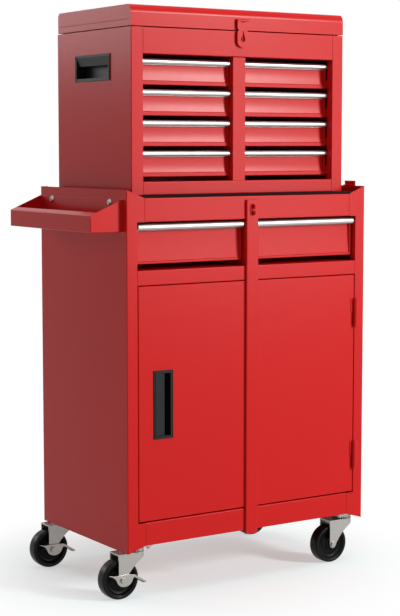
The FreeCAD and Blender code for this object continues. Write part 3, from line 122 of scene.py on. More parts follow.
def satin_aluminium(name, colour):
    """Aluminium trim, extruded, brushed and anodised clear: its hair lines along X smear what it mirrors.

    The lines are 0.4 mm apart, drawn coarser than the real ones so that a close view shows them.
    """
    material, tree, place = start_material(name)
    along = add(tree, "ShaderNodeMapping", Vector=place, Scale=(6.0, 2500.0, 2500.0))
    lines = add(tree, "ShaderNodeTexNoise", Vector=along.outputs["Vector"], Scale=1.0, Detail=3.0)
    gloss = add(tree, "ShaderNodeMapRange", Value=lines.outputs["Fac"], From_Min=0.3, From_Max=0.7,
                To_Min=0.33, To_Max=0.4)
    bump = add(tree, "ShaderNodeBump", Strength=0.3, Distance=0.000002, Height=lines.outputs["Fac"])
    shader = add(tree, "ShaderNodeBsdfPrincipled", Base_Color=linear(colour), Metallic=1.0,
                 Roughness=gloss.outputs["Result"], Normal=bump.outputs["Normal"])
    add(tree, "ShaderNodeOutputMaterial", Surface=shader.outputs[0])
    return material


def zinc_plate(name, colour, dull):
    """Steel, electroplated with bright zinc: a metal with faint cloudy patches and the grain of rolled sheet.

    The grain is about 1 mm, drawn coarser than the real one so that it shows.
    """
    material, tree, place = start_material(name)
    cloud = add(tree, "ShaderNodeTexNoise", Vector=place, Scale=70.0, Detail=4.0, Roughness=0.6)
    tint = add(tree, "ShaderNodeMix", {"data_type": "RGBA"}, Factor_Float=cloud.outputs["Fac"],
               A_Color=linear(dull), B_Color=linear(colour))
    gloss = add(tree, "ShaderNodeMapRange", Value=cloud.outputs["Fac"], From_Min=0.3, From_Max=0.7,
                To_Min=0.44, To_Max=0.32)
    grain = add(tree, "ShaderNodeTexNoise", Vector=place, Scale=900.0, Detail=2.0)
    bump = add(tree, "ShaderNodeBump", Strength=0.5, Distance=0.00001, Height=grain.outputs["Fac"])
    shader = add(tree, "ShaderNodeBsdfPrincipled", Base_Color=tint.outputs["Result"], Metallic=1.0,
                 Roughness=gloss.outputs["Result"], Normal=bump.outputs["Normal"])
    add(tree, "ShaderNodeOutputMaterial", Surface=shader.outputs[0])
    return material


def moulded(name, colour, worn, roughness, grains, microns, ior):
    """Moulded plastic or rubber: nearly even colour, with the grain that the spark-eroded mould leaves.

    Grains are counted in a metre and drawn coarser than the real ones, so that they show.
    """
    material, tree, place = start_material(name)
    cloud = add(tree, "ShaderNodeTexNoise", Vector=place, Scale=30.0, Detail=4.0)
    tint = add(tree, "ShaderNodeMix", {"data_type": "RGBA"}, Factor_Float=cloud.outputs["Fac"],
               A_Color=linear(colour), B_Color=linear(worn))
    grain = add(tree, "ShaderNodeTexNoise", Vector=place, Scale=grains, Detail=2.0)
    gloss = add(tree, "ShaderNodeMapRange", Value=grain.outputs["Fac"], From_Min=0.3, From_Max=0.7,
                To_Min=roughness - 0.05, To_Max=roughness + 0.05)
    bump = add(tree, "ShaderNodeBump", Strength=1.0, Distance=microns * 1e-6, Height=grain.outputs["Fac"])
    shader = add(tree, "ShaderNodeBsdfPrincipled", Base_Color=tint.outputs["Result"],
                 Roughness=gloss.outputs["Result"], IOR=ior, Normal=bump.outputs["Normal"])
    add(tree, "ShaderNodeOutputMaterial", Surface=shader.outputs[0])
    return material


red = powder_coat("red_powder_coat", "#D61F1F", "#D21E1E", roughness=0.25)
aluminium = satin_aluminium("satin_anodised_aluminium", "#B2B1AE")
zinc = zinc_plate("bright_zinc_plate", "#ACA9A4", "#979491")
# Injection-moulded ABS of the handles and the door pull: satin, charcoal where it turns to the light.
black_abs = moulded("black_abs_fine_grain", "#131415", "#191A1B",
                    roughness=0.42, grains=1500.0, microns=20.0, ior=1.29)
# Hard solid rubber of the treads: warm black, with a dull sheen along the shoulders.
tyre_rubber = moulded("hard_black_tyre_rubber", "#0E0D0C", "#151413",
                      roughness=0.3, grains=600.0, microns=30.0, ior=1.23)
# Injection-moulded polypropylene of the hubs: deep black, waxy on its raised rings.
hub_plastic = moulded("black_polypropylene_hub", "#060606", "#0B0B0B",
                      roughness=0.34, grains=900.0, microns=20.0, ior=1.2)
# Calendered vinyl of the mat: dull black that hardly mirrors anything.
mat_vinyl = moulded("black_ribbed_vinyl_mat", "#0C0C0C", "#141414",
                    roughness=0.8, grains=800.0, microns=40.0, ior=1.2)


# Making pieces


def box_mm(node):
    """Lowest and highest corners of a CAD node, in millimetres."""
    low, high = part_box(node)
    return low / MM, high / MM


def metres(*lengths):
    """Lengths in millimetres as a vector in metres."""
    return tuple(length * MM for length in lengths)


def finish_piece(piece, body, material, replaced=()):
    """Carries out a piece's modifiers, gives it its one material and sets it on its body."""
    graph = bpy.context.evaluated_depsgraph_get()
    mesh = bpy.data.meshes.new_from_object(
        piece.evaluated_get(graph), preserve_all_data_layers=True, depsgraph=graph)
    old = piece.data
    piece.modifiers.clear()
    piece.data = mesh
    bpy.data.meshes.remove(old)
    mesh.materials.clear()
    mesh.materials.append(material)
    for face in mesh.polygons:
        face.material_index = 0
    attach(piece, body)
    if replaced:
        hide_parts(*replaced)


def rounded(piece, width, steps=2, angle=30.0):
    """Breaks the edges of a piece, in millimetres, and lets the faces run smoothly into the round."""
    for face in piece.data.polygons:
        face.use_smooth = True
    bevel = piece.modifiers.new("edges", "BEVEL")
    bevel.width = width * MM
    bevel.segments = steps
    bevel.limit_method = "ANGLE"
    bevel.angle_limit = radians(angle)
    flat = piece.modifiers.new("flats", "WEIGHTED_NORMAL")
    flat.keep_sharp = True
    flat.weight = 100


def new_piece(name, shape):
    """An object of a bmesh that is given in millimetres, all its faces turned outwards."""
    bmesh.ops.recalc_face_normals(shape, faces=shape.faces)
    bmesh.ops.scale(shape, vec=Vector((MM, MM, MM)), verts=shape.verts)
    mesh = bpy.data.meshes.new(name)
    shape.to_mesh(mesh)
    shape.free()
    piece = bpy.data.objects.new(name, mesh)
    bpy.context.scene.collection.objects.link(piece)
    return piece


def cut_by(piece, shape, name):
    """Takes a shape out of a piece. The object that cuts goes once the piece is finished."""
    cutter = new_piece(name, shape)
    cutter.hide_render = True
    taken = piece.modifiers.new(name, "BOOLEAN")
    taken.object = cutter
    return cutter


def body_of(node):
    """The body that a CAD node rides on."""
    bodies = frame["record"]["behaviour"]["bodies"]
    return next(body for body, nodes in bodies.items() if node in nodes)


def cad_copy(node):
    """A bmesh of a CAD node in millimetres, its loose triangles joined and its flat faces made whole."""
    shape = bmesh.new()
    shape.from_mesh(frame["nodes"][node].data)
    bmesh.ops.remove_doubles(shape, verts=shape.verts, dist=1e-6)
    bmesh.ops.dissolve_limit(shape, angle_limit=radians(0.5), verts=shape.verts, edges=shape.edges)
    bmesh.ops.scale(shape, vec=Vector((1 / MM, 1 / MM, 1 / MM)), verts=shape.verts)
    return shape


def sliced(shape, spot, facing, **ways):
    """Cuts the faces of a shape in two along a plane through the spot."""
    everything = shape.verts[:] + shape.edges[:] + shape.faces[:]
    return bmesh.ops.bisect_plane(shape, geom=everything, plane_co=spot, plane_no=facing, **ways)


def arc(across, up, radius, start, end, steps):
    """Points on an arc from one angle to another, in degrees."""
    turns = [radians(start + (end - start) * step / steps) for step in range(steps + 1)]
    return [(across + radius * cos(turn), up + radius * sin(turn)) for turn in turns]


def placed(values, axes):
    """The x, y and z of a point whose values are given along the named axes."""
    return [values[axes.index(axis)] for axis in range(3)]


def band(shape, near, far):
    """Faces between two rings of as many points each."""
    for here in range(len(near)):
        there = (here + 1) % len(near)
        shape.faces.new((near[here], near[there], far[there], far[here]))


def prism(shape, outline, stations, axes=(1, 2, 0)):
    """Sweeps a closed outline through stations of (place, scale about the outline's middle).

    Axes are those of the outline and of the sweep, which runs along X where nothing else is said.
    """
    middle = [sum(point[axis] for point in outline) / len(outline) for axis in (0, 1)]
    rings = []
    for along, scale in stations:
        ring = [[middle[axis] + (point[axis] - middle[axis]) * scale for axis in (0, 1)] for point in outline]
        rings.append([shape.verts.new(placed((*point, along), axes)) for point in ring])
    shape.faces.new(rings[0])
    shape.faces.new(rings[-1])
    for near, far in zip(rings, rings[1:]):
        band(shape, near, far)


def turned(shape, section, centre, steps=72):
    """Turns a closed section of (radius, y) about an axis along Y through the centre."""
    rings = []
    for step in range(steps):
        turn = 2 * pi * step / steps
        spots = [Vector((radius * cos(turn), along, radius * sin(turn))) for radius, along in section]
        rings.append([shape.verts.new(Vector(centre) + spot) for spot in spots])
    for near, far in zip(rings, rings[1:] + rings[:1]):
        band(shape, near, far)


def stack(shape, low, high, rings, axes=(0, 1, 2), closed=False):
    """Rectangles one after another, each set in from low and high by an inset at its own height.

    Axes are those of the rectangles' two sides and of the height. Closed makes a frame, and else it is a pan.
    """
    loops = []
    for inset, height in rings:
        a0, b0, a1, b1 = low[0] + inset, low[1] + inset, high[0] - inset, high[1] - inset
        corners = [Vector((a, b, height)) for a, b in ((a0, b0), (a1, b0), (a1, b1), (a0, b1))]
        loops.append([shape.verts.new(placed(corner, axes)) for corner in corners])
    if not closed:
        shape.faces.new(loops[0])
        shape.faces.new(loops[-1])
    for near, far in zip(loops, loops[1:] + (loops[:1] if closed else [])):
        band(shape, near, far)


# Trees of Geometry Nodes for what repeats. Each takes its inputs and their values from a table of sizes.


def start_tree(name, sizes):
    """A tree with a geometry in and out, a named input for each size and one for the material."""
    tree = bpy.data.node_groups.new(name, "GeometryNodeTree")
    tree.interface.new_socket(name="Geometry", in_out="OUTPUT", socket_type="NodeSocketGeometry")
    tree.interface.new_socket(name="Geometry", in_out="INPUT", socket_type="NodeSocketGeometry")
    kinds = {float: "NodeSocketFloat", int: "NodeSocketInt", tuple: "NodeSocketVector"}
    for label, value in sizes.items():
        socket = tree.interface.new_socket(name=label, in_out="INPUT", socket_type=kinds[type(value)])
        socket.default_value = value
    tree.interface.new_socket(name="Finish", in_out="INPUT", socket_type="NodeSocketMaterial")
    return tree, add(tree, "NodeGroupInput").outputs


def finish_tree(tree, source, shape):
    """Makes the instances real, coats them and closes the tree."""
    real = add(tree, "GeometryNodeRealizeInstances", Geometry=shape)
    coated = add(tree, "GeometryNodeSetMaterial", Geometry=real.outputs[0], Material=source["Finish"])
    add(tree, "NodeGroupOutput", Geometry=coated.outputs[0])
    return tree


def cross_head_tree(sizes):
    """Pan heads with a cross recess, their undersides on the points."""
    tree, source = start_tree("cross_recess_heads", sizes)
    head = add(tree, "GeometryNodeMeshCone", Vertices=24, Radius_Top=source["Top Radius"],
               Radius_Bottom=source["Head Radius"], Depth=source["Head Height"])
    bars = []
    for label in ("Level Bar", "Upright Bar"):
        bar = add(tree, "GeometryNodeMeshCube", Size=source[label])
        bars.append(add(tree, "GeometryNodeTransform", Geometry=bar.outputs["Mesh"],
                        Translation=source["Bar Lift"]).outputs[0])
    sunk = add(tree, "GeometryNodeMeshBoolean", {"operation": "DIFFERENCE"}, Mesh_1=head.outputs["Mesh"],
               Mesh_2=bars)
    spread = add(tree, "GeometryNodeInstanceOnPoints", Points=source["Geometry"],
                 Instance=sunk.outputs["Mesh"], Rotation=source["Turn"])
    return finish_tree(tree, source, spread.outputs[0])


def rivet_tree(sizes):
    """Pop rivets: a low tapered head with the pit of its drawn mandrel in the middle, on each point."""
    tree, source = start_tree("pop_rivets", sizes)
    head = add(tree, "GeometryNodeMeshCone", Vertices=20, Radius_Top=source["Top Radius"],
               Radius_Bottom=source["Head Radius"], Depth=source["Head Height"])
    pit = add(tree, "GeometryNodeMeshCylinder", Vertices=12, Radius=source["Pit Radius"],
              Depth=source["Head Height"])
    lifted = add(tree, "GeometryNodeTransform", Geometry=pit.outputs["Mesh"], Translation=source["Pit Lift"])
    sunk = add(tree, "GeometryNodeMeshBoolean", {"operation": "DIFFERENCE"}, Mesh_1=head.outputs["Mesh"],
               Mesh_2=lifted.outputs[0])
    spread = add(tree, "GeometryNodeInstanceOnPoints", Points=source["Geometry"],
                 Instance=sunk.outputs["Mesh"], Rotation=source["Turn"])
    return finish_tree(tree, source, spread.outputs[0])


def bolt_tree(sizes):
    """Hexagon bolts that hold a plate: head and washer above the point, shank, washer and nut below it."""
    tree, source = start_tree("hexagon_bolts", sizes)
    washer = add(tree, "GeometryNodeMeshCylinder", Vertices=24, Radius=source["Washer Radius"],
                 Depth=source["Washer Height"])
    hexagon = add(tree, "GeometryNodeMeshCylinder", Vertices=6, Radius=source["Hexagon Radius"],
                  Depth=source["Hexagon Height"])
    shank = add(tree, "GeometryNodeMeshCylinder", Vertices=16, Radius=source["Shank Radius"],
                Depth=source["Shank Length"])
    places = ((washer, "Upper Washer"), (hexagon, "Head"), (washer, "Lower Washer"), (hexagon, "Nut"),
              (shank, "Shank"))
    parts = []
    for shape, label in places:
        parts.append(add(tree, "GeometryNodeTransform", Geometry=shape.outputs["Mesh"],
                         Translation=source[label]).outputs[0])
    bolt = add(tree, "GeometryNodeJoinGeometry", Geometry=parts)
    spread = add(tree, "GeometryNodeInstanceOnPoints", Points=source["Geometry"], Instance=bolt.outputs[0])
    return finish_tree(tree, source, spread.outputs[0])


def ball_tree(sizes):
    """The ring of balls of a swivel race round each point."""
    tree, source = start_tree("race_balls", sizes)
    ring = add(tree, "GeometryNodeMeshCircle", Vertices=source["Count"], Radius=source["Ring Radius"])
    ball = add(tree, "GeometryNodeMeshUVSphere", Segments=10, Rings=7, Radius=source["Ball Radius"])
    balls = add(tree, "GeometryNodeInstanceOnPoints", Points=ring.outputs["Mesh"],
                Instance=ball.outputs["Mesh"])
    spread = add(tree, "GeometryNodeInstanceOnPoints", Points=source["Geometry"], Instance=balls.outputs[0])
    return finish_tree(tree, source, spread.outputs[0])


def rib_tree(sizes):
    """Low half-round ribs along X, one behind another from each point."""
    tree, source = start_tree("mat_ribs", sizes)
    row = add(tree, "GeometryNodeMeshLine", Count=source["Count"], Offset=source["Pitch"])
    bar = add(tree, "GeometryNodeMeshCylinder", Vertices=10, Radius=source["Rib Radius"],
              Depth=source["Rib Length"])
    rib = add(tree, "GeometryNodeTransform", Geometry=bar.outputs["Mesh"], Rotation=(0.0, pi / 2, 0.0),
              Scale=source["Squeeze"])
    ribs = add(tree, "GeometryNodeInstanceOnPoints", Points=row.outputs["Mesh"], Instance=rib.outputs[0])
    spread = add(tree, "GeometryNodeInstanceOnPoints", Points=source["Geometry"], Instance=ribs.outputs[0])
    return finish_tree(tree, source, spread.outputs[0])


def grown(name, places, tree, sizes, body, material, edge=0.0):
    """A piece that a tree grows on places given in millimetres, its edges broken where edge isn't 0."""
    mesh = bpy.data.meshes.new(name)
    mesh.from_pydata([Vector(place) * MM for place in places], [], [])
    piece = bpy.data.objects.new(name, mesh)
    bpy.context.scene.collection.objects.link(piece)
    modifier = piece.modifiers.new("grown", "NODES")
    modifier.node_group = tree
    values = dict(sizes, Finish=material)
    for item in tree.interface.items_tree:
        if item.in_out == "INPUT" and item.name in values:
            modifier[item.identifier] = values[item.name]
    if edge:
        rounded(piece, edge)
    finish_piece(piece, body, material)


# Sheet metal, door and chest. Edges are broken by this much on cut sheet, on plastic and on pressed steel.


SHEET_EDGE, PLASTIC_EDGE, PRESSED_EDGE = 0.25, 0.3, 0.4
SHEET_NODES = [
    "cabinet_left_side", "cabinet_right_side", "cabinet_back", "cabinet_floor", "cabinet_top", "drawer_deck",
    "top_rail", "middle_rail", "bottom_rail", "drawer_partition", "bar_staple", "side_tray",
    "right_side_clip", "door_panel", "lock_bar", "door_hinge_leaves", "door_hinge_straps", "chest_wrap",
    "chest_floor", "chest_bottom_rail", "chest_top_rail", "chest_post", "till_floor", "hasp_staple",
    "lid_hinge_leaf", "lid_hinge_strap", "hasp_leaf", "drawer_runners", "chest_runners",
]


def dressed(node, material, edge):
    """A CAD node's own shape with its cut edges broken, in place of the node."""
    piece = new_piece(f"{node}_finished", cad_copy(node))
    rounded(piece, edge)
    finish_piece(piece, body_of(node), material, (node,))


for node in SHEET_NODES:
    dressed(node, red, SHEET_EDGE)


def lid():
    """The pressed lid. Its front bend starts gently and tightens towards the top, as folded sheet does.

    The CAD bends round an even radius. The drawn-out bend is as deep, and starts lower.
    """
    low, high = box_mm("lid")
    bend, gentle, slack = 11.0, 16.0, 1.0
    foot = high.z - gentle
    shape = cad_copy("lid")
    for step in range(int(bend)):
        sliced(shape, (0, 0, foot + step + 1), (0, 0, 1))
    for vert in shape.verts:
        if vert.co.y < low.y + bend + slack and vert.co.z > foot:
            above = min(1.0, (vert.co.z - high.z + gentle) / gentle)
            before = max(0.0, (vert.co.z - high.z + bend) / bend)
            vert.co.y += bend * ((1 - before ** 2) ** 0.5 - (1 - above ** 2) ** 0.5)
    piece = new_piece("lid_finished", shape)
    rounded(piece, SHEET_EDGE)
    finish_piece(piece, "lid", red, ("lid",))


lid()


def recessed_pull(node, axes, outer, inward):
    """A moulded pull: the CAD's rim, hood and pocket, with a shadow groove that runs round inside the rim."""
    piece = new_piece(f"{node}_finished", cad_copy(node))
    first, last, sink, clear = 1.6, 3.6, 0.9, 1.0
    near, deep = outer - inward * clear, outer + inward * sink
    ends = [(corner[axes[0]], corner[axes[1]]) for corner in box_mm(node)]
    shape = bmesh.new()
    stack(shape, *ends, [(first, near), (first, deep), (last, deep), (last, near)], axes, closed=True)
    cutter = cut_by(piece, shape, "groove")
    rounded(piece, PLASTIC_EDGE)
    finish_piece(piece, body_of(node), black_abs, (node,))
    bpy.data.objects.remove(cutter)


recessed_pull("chest_handle_left", (1, 2, 0), box_mm("chest_handle_left")[0].x, 1.0)
recessed_pull("chest_handle_right", (1, 2, 0), box_mm("chest_handle_right")[1].x, -1.0)
recessed_pull("door_cup", (0, 2, 1), box_mm("door_cup")[0].y, 1.0)


def hasp():
    """The swinging hasp, its slot opened to a drop shape and its sides nipped in above the slot."""
    low, high = box_mm("hasp")
    piece = new_piece("hasp_finished", cad_copy("hasp"))
    middle = (low.x + high.x) / 2
    clear = 2.0
    before, behind = low.y - clear, high.y + clear
    slot_z, slot_radius, tip_z, tip_half = low.z + 15.0, 4.8, low.z + 27.5, 0.9
    drop = arc(middle, slot_z, slot_radius, 160, 380, 14)
    drop += [(middle + tip_half, tip_z), (middle - tip_half, tip_z)]
    shape = bmesh.new()
    prism(shape, drop, ((before, 1.0), (behind, 1.0)), (0, 2, 1))
    nip, nip_out, nip_z, core = 2.4, 0.6, low.z + 31.5, 0.05
    for edge in (low.x - nip_out, high.x + nip_out):
        turned(shape, [(core, before), (nip, before), (nip, behind), (core, behind)], (edge, 0, nip_z), 24)
    cutter = cut_by(piece, shape, "drop")
    rounded(piece, PLASTIC_EDGE)
    finish_piece(piece, "hasp", red, ("hasp",))
    bpy.data.objects.remove(cutter)


hasp()


# Drawers. A front's folded lip and ends stand proud of its face, and the pan is set in between the runners.


FOLD_PROUD, SIDE_FOLD, SHEET = 4.0, 4.0, 0.8
PAN_INSET, PAN_LIFT, PAN_DROP, PAN_HEM, PAN_BEHIND = 3.0, 2.0, 9.0, 8.0, 0.1
TUCK, HAIR = 0.3, 0.02  # how far the front runs into its end folds, and how far these stay within its planes


def front_outline(face, foot, top, fold, under_pull, lean):
    """Section of a drawer front, (y, z): flat behind the pull, then curving forward to the folded lip."""
    crease, turn, hem = foot + fold, 0.8, 1.0
    proud = face - FOLD_PROUD
    rise = under_pull - crease - turn
    parts = [step / 8 for step in range(9)]
    curve = [(face - lean * part ** 2, under_pull - rise * part) for part in parts]
    lip = [(face - lean + 0.7, crease + 0.3), (proud + 0.4, crease), (proud, crease - 0.5)]
    lip += arc(proud + hem, foot + hem, hem, 180, 270, 4)
    return [(face, top)] + curve + lip + [(face + SHEET, foot), (face + SHEET, top)]


def drawer_box(name, face, sizes):
    """A bent sheet drawer: curved front with folded lip and ends, and a pan with hemmed walls behind it."""
    low, high = box_mm(name)
    pull_high, fold, lean = sizes
    under_pull = high.z - pull_high
    proud, foot, rear = face - FOLD_PROUD, low.z + HAIR, face + SHEET - HAIR
    shape = bmesh.new()
    front = front_outline(face, low.z, high.z, fold, under_pull, lean)
    prism(shape, front, ((low.x + SIDE_FOLD - TUCK, 1.0), (high.x - SIDE_FOLD + TUCK, 1.0)))
    end = [(proud, foot), (rear, foot), (rear, high.z), (face + HAIR, high.z), (face + HAIR, under_pull),
           (proud, under_pull)]
    for start in (low.x, high.x - SIDE_FOLD):
        prism(shape, end, ((start, 1.0), (start + SIDE_FOLD, 1.0)))
    floor, rim = low.z + PAN_LIFT, high.z - PAN_DROP
    stack(shape, (low.x + PAN_INSET, face + PAN_BEHIND), (high.x - PAN_INSET, high.y), [
        (0, floor), (0, rim), (2 * SHEET, rim), (2 * SHEET, rim - PAN_HEM), (SHEET, rim - PAN_HEM),
        (SHEET, floor + SHEET)])
    piece = new_piece(f"{name}_sheet", shape)
    rounded(piece, SHEET_EDGE)
    finish_piece(piece, name, red, (name,))


def drawer_pull(name, body, left, right, front, deep, top, high, replaced=()):
    """Extruded aluminium pull: a crowned nose, hollow below for the fingers, its cut ends rounded off."""
    wall, nose, break_off = 1.6, 0.5 * high, 0.8
    back, foot = front + deep, top - high
    crown = arc(front + nose, top - nose, nose, 90, 245, 16)
    inside = arc(front + nose, top - nose, nose - wall, 245, 90, 12)
    outline = [(back, foot), (back, top - break_off), (back - break_off, top)] + crown
    outline += inside + [(back - wall, top - wall), (back - wall, foot)]
    ends = ((0.0, 0.8), (0.35, 0.9), (0.9, 0.97), (1.8, 1.0))
    stations = [(left + step, scale) for step, scale in ends]
    stations += [(right - step, scale) for step, scale in ends[::-1]]
    shape = bmesh.new()
    prism(shape, outline, stations)
    piece = new_piece(name, shape)
    rounded(piece, 0.1, 1, 40.0)
    finish_piece(piece, body, aluminium, replaced)


# The chest's pulls are this deep and high. A front's sizes are the height that its pull covers, the height
# of its lip and how far its face leans forward.
PULL_DEEP, PULL_HIGH = 11.0, 11.5
CHEST_FRONT = (11.5, 7.0, 2.5)
LOW_FRONT = (13.3, 4.2, 2.6)
for row in range(1, 5):
    for side in ("left", "right"):
        name = f"chest_drawer_{side}_{row}"
        low, high = box_mm(name)
        drawer_box(name, low.y + PULL_DEEP, CHEST_FRONT)
        drawer_pull(f"{name}_pull", name, low.x, high.x, low.y, PULL_DEEP, high.z, PULL_HIGH)
for side in ("left", "right"):
    name = f"{side}_drawer"
    drawer_box(name, box_mm(name)[0].y + FOLD_PROUD, LOW_FRONT)
    pull = f"{name}_pull"
    low, high = box_mm(pull)
    drawer_pull(f"{name}_trim", name, low.x, high.x, low.y, high.y - low.y, high.z, high.z - low.z, (pull,))


# Mat, screws and rivets


TO_REAR, TO_LEFT = (-pi / 2, 0.0, 0.0), (0.0, -pi / 2, 0.0)


def top_mat():
    """Vinyl mat: a thin slab with rounded rims, ribbed on top."""
    low, high = box_mm("top_mat")
    edge, pitch, radius, rise = 4.0, 6.0, 1.5, 0.8
    slab = high.z - rise
    shape = bmesh.new()
    stack(shape, low, high, [(0, low.z), (0, slab)])
    piece = new_piece("top_mat_slab", shape)
    rounded(piece, 1.2, 3)
    finish_piece(piece, body_of("top_mat"), mat_vinyl, ("top_mat",))
    start = ((low.x + high.x) / 2, low.y + edge, slab)
    sizes = {"Count": int((high.y - low.y - 2 * edge) / pitch) + 1, "Pitch": metres(0, pitch, 0),
             "Rib Length": (high.x - low.x - 2 * edge) * MM, "Rib Radius": radius * MM,
             "Squeeze": (rise / radius, 1.0, 1.0)}
    grown("top_mat_ribs", [start], rib_tree(sizes), sizes, body_of("top_mat"), mat_vinyl)


top_mat()


def tray_screws():
    """The two screws of the tray: crossed heads outside, and the CAD's shanks and nuts behind them."""
    low, high = box_mm("cabinet_screws")
    tray_sheet, sunk = 1.0, 0.1
    seat = box_mm("cabinet_left_side")[0].x - tray_sheet
    shape = cad_copy("cabinet_screws")
    cut = sliced(shape, (seat + sunk, 0, 0), (-1, 0, 0), clear_outer=True)
    rims = [item for item in cut["geom_cut"] if isinstance(item, bmesh.types.BMEdge)]
    bmesh.ops.holes_fill(shape, edges=rims)
    piece = new_piece("tray_screw_nuts", shape)
    rounded(piece, SHEET_EDGE)
    finish_piece(piece, "cabinet", zinc, ("cabinet_screws",))
    reach = (high.z - low.z) / 2
    places = [(seat, y, low.z + reach) for y in (low.y + reach, high.y - reach)]
    radius, tall, recess = 6.4, 3.2, 1.5
    long = 0.9 * radius
    sizes = {"Head Radius": radius * MM, "Top Radius": 0.62 * radius * MM, "Head Height": tall * MM,
             "Level Bar": metres(long, recess, tall), "Upright Bar": metres(recess, long, tall),
             "Bar Lift": metres(0, 0, 0.75 * tall), "Turn": TO_LEFT}
    grown("tray_screw_heads", places, cross_head_tree(sizes), sizes, "cabinet", zinc, 0.8)


def rivet_rows(node, inset, count, y, heights):
    """Rows of as many rivets at each height, the first and the last one set in from the node's two sides."""
    low, high = box_mm(node)
    left, right = low.x + inset, high.x - inset
    return [(left + (right - left) * step / (count - 1), y, z) for z in heights for step in range(count)]


def back_rivets():
    """The rivets that hold the back sheets to the flanges inside them, and the leaves of the lid's hinge."""
    radius, tall, leaf_sheet = 3.2, 0.8, 1.0
    sizes = {"Head Radius": radius * MM, "Top Radius": 0.7 * radius * MM, "Head Height": tall * MM,
             "Pit Radius": 0.36 * radius * MM, "Pit Lift": metres(0, 0, 0.8 * tall), "Turn": TO_REAR}
    tree = rivet_tree(sizes)
    low, high = box_mm("cabinet_back")
    heights = (low.z + 6.0, box_mm("drawer_deck")[0].z + 5.5, high.z - 6.5)
    cabinet = rivet_rows("cabinet_back", 26.0, 7, high.y, heights)
    low, high = box_mm("chest_wrap")
    heights = (low.z + 6.5, box_mm("till_floor")[0].z + 6.0)
    chest = rivet_rows("chest_wrap", 20.0, 6, high.y, heights)
    leaf = box_mm("lid_hinge_leaf")[0].z + 7.0
    chest += rivet_rows("lid_hinge_leaf", 18.0, 8, high.y + leaf_sheet, (leaf,))
    low, high = box_mm("lid_hinge_strap")
    strap = rivet_rows("lid_hinge_strap", 18.0, 8, low.y + leaf_sheet, (high.z - 6.0,))
    for body, places in (("cabinet", cabinet), ("chest", chest), ("lid", strap)):
        grown(f"{body}_back_rivets", places, tree, sizes, body, zinc, 0.15)


tray_screws()
back_rivets()


# Casters


def wheel(corner):
    """A dished hub with two raised rings, and a hard tyre with rounded shoulders.

    A profile runs outwards over the near face, as (radius, depth from that face). The far face mirrors it.
    """
    node = f"caster_wheel_{corner}"
    low, high = box_mm(node)
    centre = ((low.x + high.x) / 2, low.y, (low.z + high.z) / 2)
    wide = high.y - low.y
    hub = [(3.1, 0.3), (5.4, 0.0), (6.2, 0.5), (10.0, 0.8), (11.2, 1.8), (12.6, 5.0), (14.0, 5.6),
           (19.4, 5.8), (20.0, 4.9), (21.6, 4.9), (22.2, 5.7), (26.0, 5.3), (27.6, 4.2), (28.8, 1.2),
           (29.4, 0.6), (30.5, 0.6), (30.9, 1.5)]
    tyre = [(30.7, 1.6), (31.3, 0.9), (32.4, 0.3), (34.6, 0.2), (36.2, 0.8), (37.2, 2.0), (37.8, 4.0),
            (38.0, 7.0)]
    for name, profile, slot, material, replaced in (
            ("hub", hub, BLACK, hub_plastic, ()), ("tyre", tyre, RUBBER, tyre_rubber, (node,))):
        shape = bmesh.new()
        turned(shape, profile + [(radius, wide - along) for radius, along in profile[::-1]], centre)
        piece = new_piece(f"{node}_{name}", shape)
        for face in piece.data.polygons:
            face.use_smooth = True
        piece.data.set_sharp_from_angle(angle=radians(50.0))
        finish_piece(piece, node, material, replaced)


def fork_brow(shape, swivel):
    """Draws a fork's legs together in front of the swivel axis, round a quarter of an ellipse to the brow."""
    outer, brow, sheet = 17.0, 12.85, 2.5
    begin, length, play = 2, 12, 0.5
    for step in range(begin, begin + length):
        sliced(shape, (swivel.x + step, 0, 0), (1, 0, 0))
    for vert in shape.verts:
        ahead, aside = vert.co.x - swivel.x, abs(vert.co.y - swivel.y)
        if ahead > begin and aside > outer - sheet - play:
            limit = brow + (outer - brow) * max(0.0, 1 - ((ahead - begin) / length) ** 2) ** 0.5
            limit -= sheet if aside < outer - play else 0.0
            side = 1 if vert.co.y > swivel.y else -1
            vert.co.y = swivel.y + side * min(aside, limit)
    bmesh.ops.remove_doubles(shape, verts=shape.verts, dist=0.001)


def fork(corner):
    """The pressed fork, the front edges of its legs hollowed in a sweep from the axle up to the race.

    The sweep is an arc over the chord from beside the axle to under the brow, as deep as the sag.
    """
    node = f"caster_fork_{corner}"
    low, high = box_mm(node)
    trail, half_wheel = 41.5, 12.5
    shape = cad_copy(node)
    fork_brow(shape, Vector((low.x + trail, box_mm(f"caster_wheel_{corner}")[0].y + half_wheel, 0)))
    piece = new_piece(f"{node}_finished", shape)
    start_x, start_z, brow_drop, sag = low.x + 12.6, 32.6, 7.0, 6.0
    start, end = Vector((start_x, 0, start_z)), Vector((high.x, 0, high.z - brow_drop))
    chord = end - start
    radius = (chord.length ** 2 / 4 + sag ** 2) / (2 * sag)
    outward = Vector((chord.z, 0, -chord.x)).normalized()
    middle = start + chord / 2 + outward * (radius - sag)
    clear, core = 5.0, 0.5
    near, far = low.y - clear, high.y + clear
    shape = bmesh.new()
    turned(shape, [(core, near), (radius, near), (radius, far), (core, far)], (middle.x, 0, middle.z), 360)
    cutter = cut_by(piece, shape, "sweep")
    rounded(piece, PRESSED_EDGE)
    finish_piece(piece, body_of(node), zinc, (node,))
    bpy.data.objects.remove(cutter)


